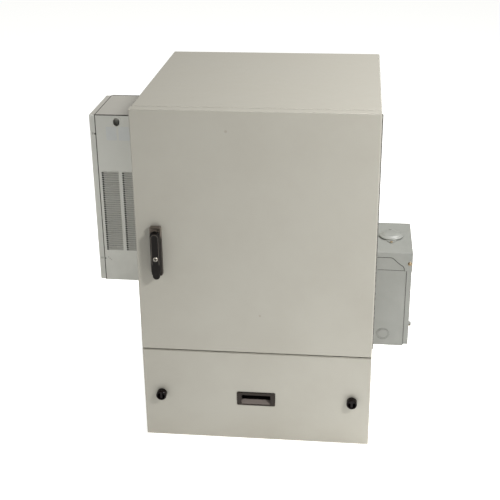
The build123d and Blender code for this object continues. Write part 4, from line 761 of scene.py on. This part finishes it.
# Dark lines of painted shade: thin dark cord laid along the seams and grooves of the two side boxes, where
# shade falls
shadeLineLook = {
    "width": 0.0013, "proud": 0.0012, "round": 0.0015, "end": 0.001, "inset": 0.0004, "standOff": 0.00075,
    "hoodWidth": 0.0020, "exchangerWidth": 0.0021, "topProud": 0.0022, "topDrop": 0.0002,
}


def buildCordTree():
    tree, given = newTree("paintedLineCord", (
        ("Width", "Float"), ("Height", "Float"), ("Round", "Float"), ("Points", "Int"),
    ))
    path = addNode(tree, "GeometryNodeMeshToCurve", {"Mesh": given["Geometry"]}).outputs["Curve"]
    soft = addNode(tree, "GeometryNodeFilletCurve", {
        "Curve": path, "Radius": given["Round"], "Count": given["Points"],
    }, mode="POLY").outputs["Curve"]
    section = addNode(tree, "GeometryNodeCurvePrimitiveQuadrilateral", {
        "Width": given["Width"], "Height": given["Height"],
    }).outputs["Curve"]
    cord = addNode(tree, "GeometryNodeCurveToMesh", {
        "Curve": soft, "Profile Curve": section, "Fill Caps": True,
    }).outputs["Mesh"]
    closeTree(tree, cord, given["Finish"])
    return tree


cordTree = buildCordTree()


def makePaintedLine(name, points, width, height, bend=0.0, closed=False,
             material=plastics["shadeLine"], body="cabinet"):
    mesh = bpy.data.meshes.new(name)
    links = [(i, i + 1) for i in range(len(points) - 1)]
    if closed:
        links.append((len(points) - 1, 0))
    mesh.from_pydata(points, links, [])
    paintedLine = growPiece(name, mesh, cordTree, {
        "Width": width, "Height": height, "Round": bend, "Points": 4, "Finish": material,
    }, body)


def dressExchangerShades():
    # painted shade: dark cord in the cover's groove and along the top's front and back edges
    look = shadeLineLook
    low, high = (Vector(corner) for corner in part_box("exchanger_cover"))
    side = high.x + look["standOff"]
    front, back = low.y + look["inset"], high.y - look["inset"]
    foot, head = low.z + look["inset"], high.z - look["inset"]
    corners = [(side, front, foot), (side, front, head), (side, back, head), (side, back, foot)]
    wide = look["exchangerWidth"]
    makePaintedLine("exchangerCoverShadeLine", corners, wide, look["proud"], look["round"], closed=True)
    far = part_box("exchanger_housing")[1][0] - look["end"]
    z = high.z - look["topDrop"]
    for name, y in (("exchangerTopShadeFront", front), ("exchangerTopShadeBack", back)):
        makePaintedLine(name, ((side + look["end"], y, z), (far, y, z)), wide, look["topProud"])


# Hood: the skirt's edge leaves the shallow part in a soft bend, runs down straight and kinks steeply at
# its foot; every point is measured in millimetres from the hood's front top corner
hoodLook = {
    "edge": (
        (105.7, 13.5), (60.2, 13.5), (55.2, 14.7), (50.2, 17.9), (44.1, 23.9), (38.1, 29.6), (32.3, 34.1),
        (26.5, 37.6), (23.1, 41.3), (21.1, 46.0), (20.4, 53.5),
    ),
    "sheet": 0.0015, "lip": 0.0195, "bend": 0.0014, "spare": 0.002,
}


def hoodEdge():
    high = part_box("load_hood")[1]
    return [(high[0] - across / 1000, high[2] - down / 1000) for across, down in hoodLook["edge"]]


def makeHood():
    look = hoodLook
    low, high = (Vector(corner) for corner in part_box("load_hood"))
    sheet, spare = look["sheet"], look["spare"]
    shape = bmesh.new()
    addBlock(shape, low, high)
    bends = [
        edge for edge in shape.edges
        if all(vert.co.z > high.z - 1e-5 for vert in edge.verts)
        and any(vert.co.x > high.x - 1e-5 for vert in edge.verts)
    ]
    bmesh.ops.bevel(shape, geom=bends, offset=look["bend"], segments=3, affect="EDGES", profile=0.5)
    hood = meshPiece("loadHood", shape, loadPaint, "cabinet")
    cutter = bmesh.new()
    inner = (low.y + sheet, high.y - sheet)
    addBlock(cutter, (low.x - spare, inner[0], low.z - spare), (high.x - sheet, inner[1], high.z - sheet))
    addBlock(cutter, (low.x, inner[0], low.z - 2 * spare), (high.x + spare, inner[1], high.z - look["lip"]))
    outline = hoodEdge()
    outline[0] = (low.x - 2 * spare, outline[0][1])
    outline += [(outline[-1][0], low.z - 3 * spare), (low.x - 2 * spare, low.z - 3 * spare)]
    extrudeOutline(cutter, [(x, low.y - spare, z) for x, z in outline], (0, high.y - low.y + 2 * spare, 0))
    bmesh.ops.recalc_face_normals(cutter, faces=cutter.faces)
    cutAway(hood, cutter)
    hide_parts("load_hood")


def dressHoodShades():
    # painted shade: dark cord along the edge of the hood's skirt, where its step casts a shadow
    low, high = (Vector(corner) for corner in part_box("load_hood"))
    half = shadeLineLook["hoodWidth"] / 2
    for name, side, face in (("hoodShadeFront", -1, low.y), ("hoodShadeBack", 1, high.y)):
        y = face - side * (hoodLook["sheet"] - shadeLineLook["inset"])
        outline = hoodEdge()
        points = []
        for number, (x, z) in enumerate(outline):
            before, after = outline[max(number - 1, 0)], outline[min(number + 1, len(outline) - 1)]
            along = Vector((after[0] - before[0], after[1] - before[1])).normalized()
            points.append((x + along.y * half, y, z - along.x * half))
        makePaintedLine(name, points, shadeLineLook["hoodWidth"], shadeLineLook["proud"])


# Painted shade on the load centre's box: dark cord in the joint of its end wall, in the two rings of a
# knockout, and along its edge
boxShadeLook = {
    "line": 0.0008, "lineProud": 0.0006, "jointDrop": 0.0525,
    "rings": {"knockoutShadeRingA": 0.014, "knockoutShadeRingB": 0.0175},
    "ring": 0.00025, "ringProud": 0.0004, "ringSteps": 40, "inset": 0.033, "rise": 0.036,
}


def dressBoxShades():
    look = boxShadeLook
    low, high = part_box("load_box")
    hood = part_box("load_hood")
    end = shadeLineLook["end"]
    z = hood[1][2] - look["jointDrop"]
    for name, y in (("boxJointShadeFront", low[1]), ("boxJointShadeBack", high[1])):
        makePaintedLine(name, ((low[0] + end, y, z), (high[0] - end, y, z)), look["line"], look["lineProud"])
    for name, radius in look["rings"].items():
        ring = []
        for i in range(look["ringSteps"]):
            angle = 2 * math.pi * i / look["ringSteps"]
            ring.append((low[0] + look["inset"] + radius * math.cos(angle), low[1],
                         low[2] + look["rise"] + radius * math.sin(angle)))
        makePaintedLine(name, ring, look["ring"], look["ringProud"], closed=True)
    for name, y in (("boxEdgeShadeFront", low[1]), ("boxEdgeShadeBack", high[1])):
        ends = ((high[0], y, low[2] + end), (high[0], y, hood[0][2]))
        makePaintedLine(name, ends, shadeLineLook["width"], shadeLineLook["proud"])


dressExchangerShades()
makeHood()
dressHoodShades()
dressBoxShades()
print("seams made")

# Louvre ends: a dark block at the left end of every louvre, painted shade for the shadow inside its open end
louvreShadeLook = {
    "rows": 36, "columns": 2, "pitch": 0.0065, "columnPitch": 0.0569, "first": 0.4551, "fromEdge": 0.0097,
    "width": 0.0046, "height": 0.0034, "depth": 0.0024, "sunk": 0.0003,
}


def buildLouvreShadeTree():
    tree, given = newTree("louvreEndShades", (
        ("Rows", "Int"), ("Columns", "Int"), ("Pitch", "Vector"), ("Column Pitch", "Vector"),
        ("First", "Vector"), ("Size", "Vector"),
    ))
    rows = addNode(tree, "GeometryNodeMeshLine", {
        "Count": given["Rows"], "Offset": given["Pitch"],
    }).outputs["Mesh"]
    columns = addNode(tree, "GeometryNodeMeshLine", {
        "Count": given["Columns"], "Start Location": given["First"], "Offset": given["Column Pitch"],
    }).outputs["Mesh"]
    grid = addNode(tree, "GeometryNodeInstanceOnPoints", {"Points": columns, "Instance": rows})
    spots = addNode(tree, "GeometryNodeRealizeInstances", {
        "Geometry": grid.outputs["Instances"],
    }).outputs["Geometry"]
    cut = addNode(tree, "GeometryNodeMeshCube", {"Size": given["Size"]}).outputs["Mesh"]
    placed = addNode(tree, "GeometryNodeInstanceOnPoints", {"Points": spots, "Instance": cut})
    closeTree(tree, placed.outputs["Instances"], given["Finish"])
    return tree


def makeLouvreShades():
    look = louvreShadeLook
    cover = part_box("exchanger_cover")
    first = (
        cover[1][0] + look["fromEdge"] + look["width"] / 2, cover[0][1] - look["depth"] / 2 + look["sunk"],
        look["first"],
    )
    louvreShades = growPiece("louvreEndShades", bpy.data.meshes.new("louvreEndShades"), buildLouvreShadeTree(), {
        "Rows": look["rows"], "Columns": look["columns"], "Pitch": (0, 0, look["pitch"]),
        "Column Pitch": (look["columnPitch"], 0, 0), "First": first,
        "Size": (look["width"], look["depth"], look["height"]), "Finish": plastics["rubber"],
    }, "cabinet")


makeLouvreShades()
print("louvre ends made")

# Hub closure: a rhombic plate with a drawn dome, whose shoulder steps down to the plate
hubLook = {
    "halfX": 0.036, "halfY": 0.055, "corner": 0.007, "plate": 0.002, "edge": 0.0006, "radius": 0.034,
    "steps": 8, "sides": 64, "flat": 0.995,
    "profile": (  # shares of the dome's radius and of the whole rise
        (1.00, 0.10), (1.00, 0.36), (0.985, 0.46), (0.95, 0.54), (0.90, 0.585), (0.84, 0.62), (0.79, 0.68),
        (0.74, 0.77), (0.68, 0.86), (0.59, 0.93), (0.45, 0.975), (0.25, 0.995), (0.0, 1.0),
    ),
}


def lathe(shape, centre, profile, steps, axis=2):
    rings = []
    for radius, height in profile:
        ring = []
        for i in range(steps if radius > 0 else 1):
            angle = 2 * math.pi * i / steps
            across, up = radius * math.cos(angle), radius * math.sin(angle)
            place = (across, up, height) if axis == 2 else (across, -height, up)
            ring.append(shape.verts.new(Vector(centre) + Vector(place)))
        rings.append(ring)
    for lower, upper in zip(rings, rings[1:]):
        for i in range(steps):
            j = (i + 1) % steps
            # the last ring can be the one point in the middle of the top
            tips = upper if len(upper) == 1 else (upper[j], upper[i])
            shape.faces.new((lower[i], lower[j], *tips))
    shape.faces.new(rings[0])


def makeHub():
    look = hubLook
    low, high = (Vector(corner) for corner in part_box("hub_plate"))
    centre = (low + high) / 2
    centre.z = low.z
    shape = bmesh.new()
    outline = []
    corners = ((look["halfX"], 0), (0, look["halfY"]), (-look["halfX"], 0), (0, -look["halfY"]))
    for number, (x, y) in enumerate(corners):
        before, after = Vector(corners[number - 1]), Vector(corners[(number + 1) % 4])
        here = Vector((x, y))
        inA, inB = (before - here).normalized(), (after - here).normalized()
        half = inA.angle(inB) / 2
        middle = here + (inA + inB).normalized() * (look["corner"] / math.sin(half))
        away = look["corner"] / math.tan(half)
        first, last = here + inA * away - middle, here + inB * away - middle
        for step in range(look["steps"] + 1):
            ray = first.slerp(last, step / look["steps"]).normalized()
            outline.append(middle + ray * look["corner"])
    plate = [(centre.x + point.x, centre.y + point.y, centre.z) for point in outline]
    extrudeOutline(shape, plate, (0, 0, look["plate"]))
    middle = centre.z + look["plate"] / 2
    top = [edge for edge in shape.edges if all(vert.co.z > middle for vert in edge.verts)]
    bmesh.ops.bevel(shape, geom=top, offset=look["edge"], segments=3, affect="EDGES", profile=0.5)
    rise = high.z - low.z
    lathe(shape, centre, [(r * look["radius"], h * rise) for r, h in look["profile"]], look["sides"])
    hub = meshPiece("hubClosure", shape, loadPaint, "cabinet")
    faces = hub.data.polygons
    faces.foreach_set("use_smooth", [face.normal.z < look["flat"] for face in faces])
    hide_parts("hub_plate")


# Lock core: a bright disc with a bevelled rim, a ring groove and a wafer slot with side notches
lockLook = {
    "rim": 0.0006, "groove": 0.0006, "rings": (0.78, 0.74, 0.68, 0.64),
    "slotWidth": 0.0024, "slotLength": 0.0090, "notch": 0.0072, "slotDepth": 0.0016, "floor": 0.001,
    "sides": 48, "keyway": 0.75,
}


def makeLock():
    look = lockLook
    low, high = (Vector(corner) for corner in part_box("lock_core"))
    radius, deep = (high.x - low.x) / 2, high.y - low.y
    middle = (low + high) / 2
    shape = bmesh.new()
    outer, grooveOuter, grooveInner, inner = (share * radius for share in look["rings"])
    groove = deep - look["groove"]
    lathe(shape, (middle.x, high.y, middle.z), [
        (radius, 0.0), (radius, deep - look["rim"]), (radius - look["rim"], deep), (outer, deep),
        (grooveOuter, groove), (grooveInner, groove), (inner, deep), (0.0, deep),
    ], look["sides"], axis=1)
    core = meshPiece("lockCylinder", shape, metals["nickel"], "lock")
    cutter = bmesh.new()
    for wide, tall in ((look["slotWidth"], look["slotLength"]), (look["notch"], look["slotWidth"])):
        addBlock(cutter, (middle.x - wide / 2, low.y - look["slotDepth"], middle.z - tall / 2),
                 (middle.x + wide / 2, low.y + look["slotDepth"], middle.z + tall / 2))
    cutAway(core, cutter)
    core.data.materials.append(plastics["handle"])  # grease and shade in the keyway
    for polygon in core.data.polygons:
        away = math.hypot(polygon.center.x - middle.x, polygon.center.z - middle.z)
        if polygon.center.y > low.y + look["floor"] and away < radius * look["keyway"]:
            polygon.material_index = 1
    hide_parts("lock_core")


# Painted highlight on the lever: a thin paler cord around its face stands for the light on its rounded rim
leverHighlightLook = {"width": 0.0009, "radius": 0.0092, "drop": 0.0165, "foot": 0.530, "sink": 0.0002, "steps": 16}


def dressLever():
    look = leverHighlightLook
    low, high = (Vector(corner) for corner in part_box("handle_lever"))
    middle, crown, y = (low.x + high.x) / 2, high.z - look["drop"], low.y + look["sink"]
    radius = look["radius"]
    points = [(middle - radius, y, look["foot"])]
    for i in range(look["steps"] + 1):
        angle = math.pi * (1 - i / look["steps"])
        points.append((middle + radius * math.cos(angle), y, crown + radius * math.sin(angle)))
    points.append((middle + radius, y, look["foot"]))
    makePaintedLine("leverPaintedHighlight", points, look["width"], look["width"],
             material=plastics["rim"], body="lever")


# Dark strip in the gap between the frame and the top of the door: painted shade for the dark line under the
# roof
doorShadeLook = {"drop": 0.0016, "height": 0.0030, "side": 0.004, "play": 0.0006}


def makeDoorShade():
    look = doorShadeLook
    back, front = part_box("front_frame")[0][1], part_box("hinge_door_leaf")[0][1] + look["play"]
    low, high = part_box("main_door")
    top = high[2] - look["drop"]
    shape = bmesh.new()
    addBlock(shape, (low[0] + look["side"], front, top - look["height"]), (high[0] - look["side"], back, top))
    meshPiece("doorTopShadeStrip", shape, plastics["rubber"], "cabinet")


# Clamp plate behind the oval hole of the exchanger, hung from the top panel
clampLook = {"x": -0.4065, "half": 0.013, "y": -0.0895, "thick": 0.0015, "foot": 0.812, "roof": 0.0012}


def makeClamp():
    look = clampLook
    shape = bmesh.new()
    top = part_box("exchanger_housing")[1][2] - look["roof"]
    addBlock(shape, (look["x"] - look["half"], look["y"], look["foot"]),
             (look["x"] + look["half"], look["y"] + look["thick"], top))
    meshPiece("clampPlate", shape, insidePaint, "cabinet")


makeHub()
makeLock()
dressLever()
makeDoorShade()
makeClamp()
print("hub, lock, lever, strip and clamp dressed")

# Rating labels on the exchanger: two blank polyester stickers, with nothing printed on them
labelLook = {
    "spans": ((-0.4252, -0.3965), (-0.3912, -0.3608)), "low": 0.7755, "high": 0.8135,
    "thick": 0.00018, "corner": 0.0015, "steps": 4,
}


def makeLabels():
    look = labelLook
    wall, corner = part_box("exchanger_cover")[0][1], look["corner"]
    shape = bmesh.new()
    for left, right in look["spans"]:
        outline = []
        for x, z, start in (
            (right - corner, look["high"] - corner, 0), (left + corner, look["high"] - corner, 90),
            (left + corner, look["low"] + corner, 180), (right - corner, look["low"] + corner, 270),
        ):
            for step in range(look["steps"] + 1):
                angle = math.radians(start + 90 * step / look["steps"])
                outline.append((x + corner * math.cos(angle), wall, z + corner * math.sin(angle)))
        extrudeOutline(shape, outline, (0, -look["thick"], 0))
    meshPiece("blankLabels", shape, plastics["label"], "cabinet")


makeLabels()
print("labels made")

# Studio: a white floor that glows behind the cabinet like a lit sweep, and soft lamps;
# the key light stands high on the right, so the knobs and the handle cast their shadows down to the left
studioLook = {
    "floor": "#F4F4F2", "floorSize": 16.0, "glowFront": 0.30, "glowBack": 0.95, "frontY": -1.2,
    "backY": -0.6, "world": "#FFFFFF", "worldStrength": 0.10,
}
lampLooks = {
    "keyLight": {"place": (1.32, -1.45, 1.75), "aim": (0.1, -0.3, 0.5), "size": 0.26, "power": 35},
    "topLight": {"place": (1.3, 0.5, 3.0), "aim": (0.1, 0.1, 0.7), "size": 1.8, "power": 104},
    "lowLight": {"place": (1.45, -1.55, 0.60), "aim": (0.15, -0.3, 0.3), "size": 0.5, "power": 3},
    "leftLight": {"place": (-2.2, -2.3, 1.5), "aim": (0.0, -0.2, 0.5), "size": 1.5, "power": 10},
}


def buildStudio():
    scene.view_settings.view_transform = "Standard"  # the paint's own colours, with no film curve
    bpy.ops.mesh.primitive_plane_add(size=studioLook["floorSize"], location=(0, 0, 0))
    floor = bpy.context.object
    floor.name = "floor"
    material, tree, shader = newMaterial("paleStudioFloor")
    shader.inputs["Roughness"].default_value = 0.9
    for name in ("Base Color", "Emission Color"):
        shader.inputs[name].default_value = hexToLinear(studioLook["floor"])
    place = addNode(tree, "ShaderNodeTexCoord").outputs["Object"]
    along = addNode(tree, "ShaderNodeSeparateXYZ", {"Vector": place}).outputs["Y"]
    glow = addNode(tree, "ShaderNodeMapRange", {
        "Value": along, "From Min": studioLook["frontY"], "From Max": studioLook["backY"],
        "To Min": studioLook["glowFront"], "To Max": studioLook["glowBack"],
    }, interpolation_type="SMOOTHSTEP").outputs["Result"]
    tree.links.new(glow, shader.inputs["Emission Strength"])
    floor.data.materials.append(material)
    world = scene.world or bpy.data.worlds.new("studioWorld")
    scene.world = world
    world.use_nodes = True
    background = world.node_tree.nodes["Background"]
    background.inputs["Color"].default_value = hexToLinear(studioLook["world"])
    background.inputs["Strength"].default_value = studioLook["worldStrength"]
    for name, look in lampLooks.items():
        data = bpy.data.lights.new(name, "AREA")
        data.shape = "DISK"
        data.size = look["size"]
        data.energy = look["power"]
        lamp = bpy.data.objects.new(name, data)
        scene.collection.objects.link(lamp)
        lamp.location = look["place"]
        lamp.rotation_euler = (Vector(look["aim"]) - lamp.location).to_track_quat("-Z", "Y").to_euler()


buildStudio()
print("studio made")
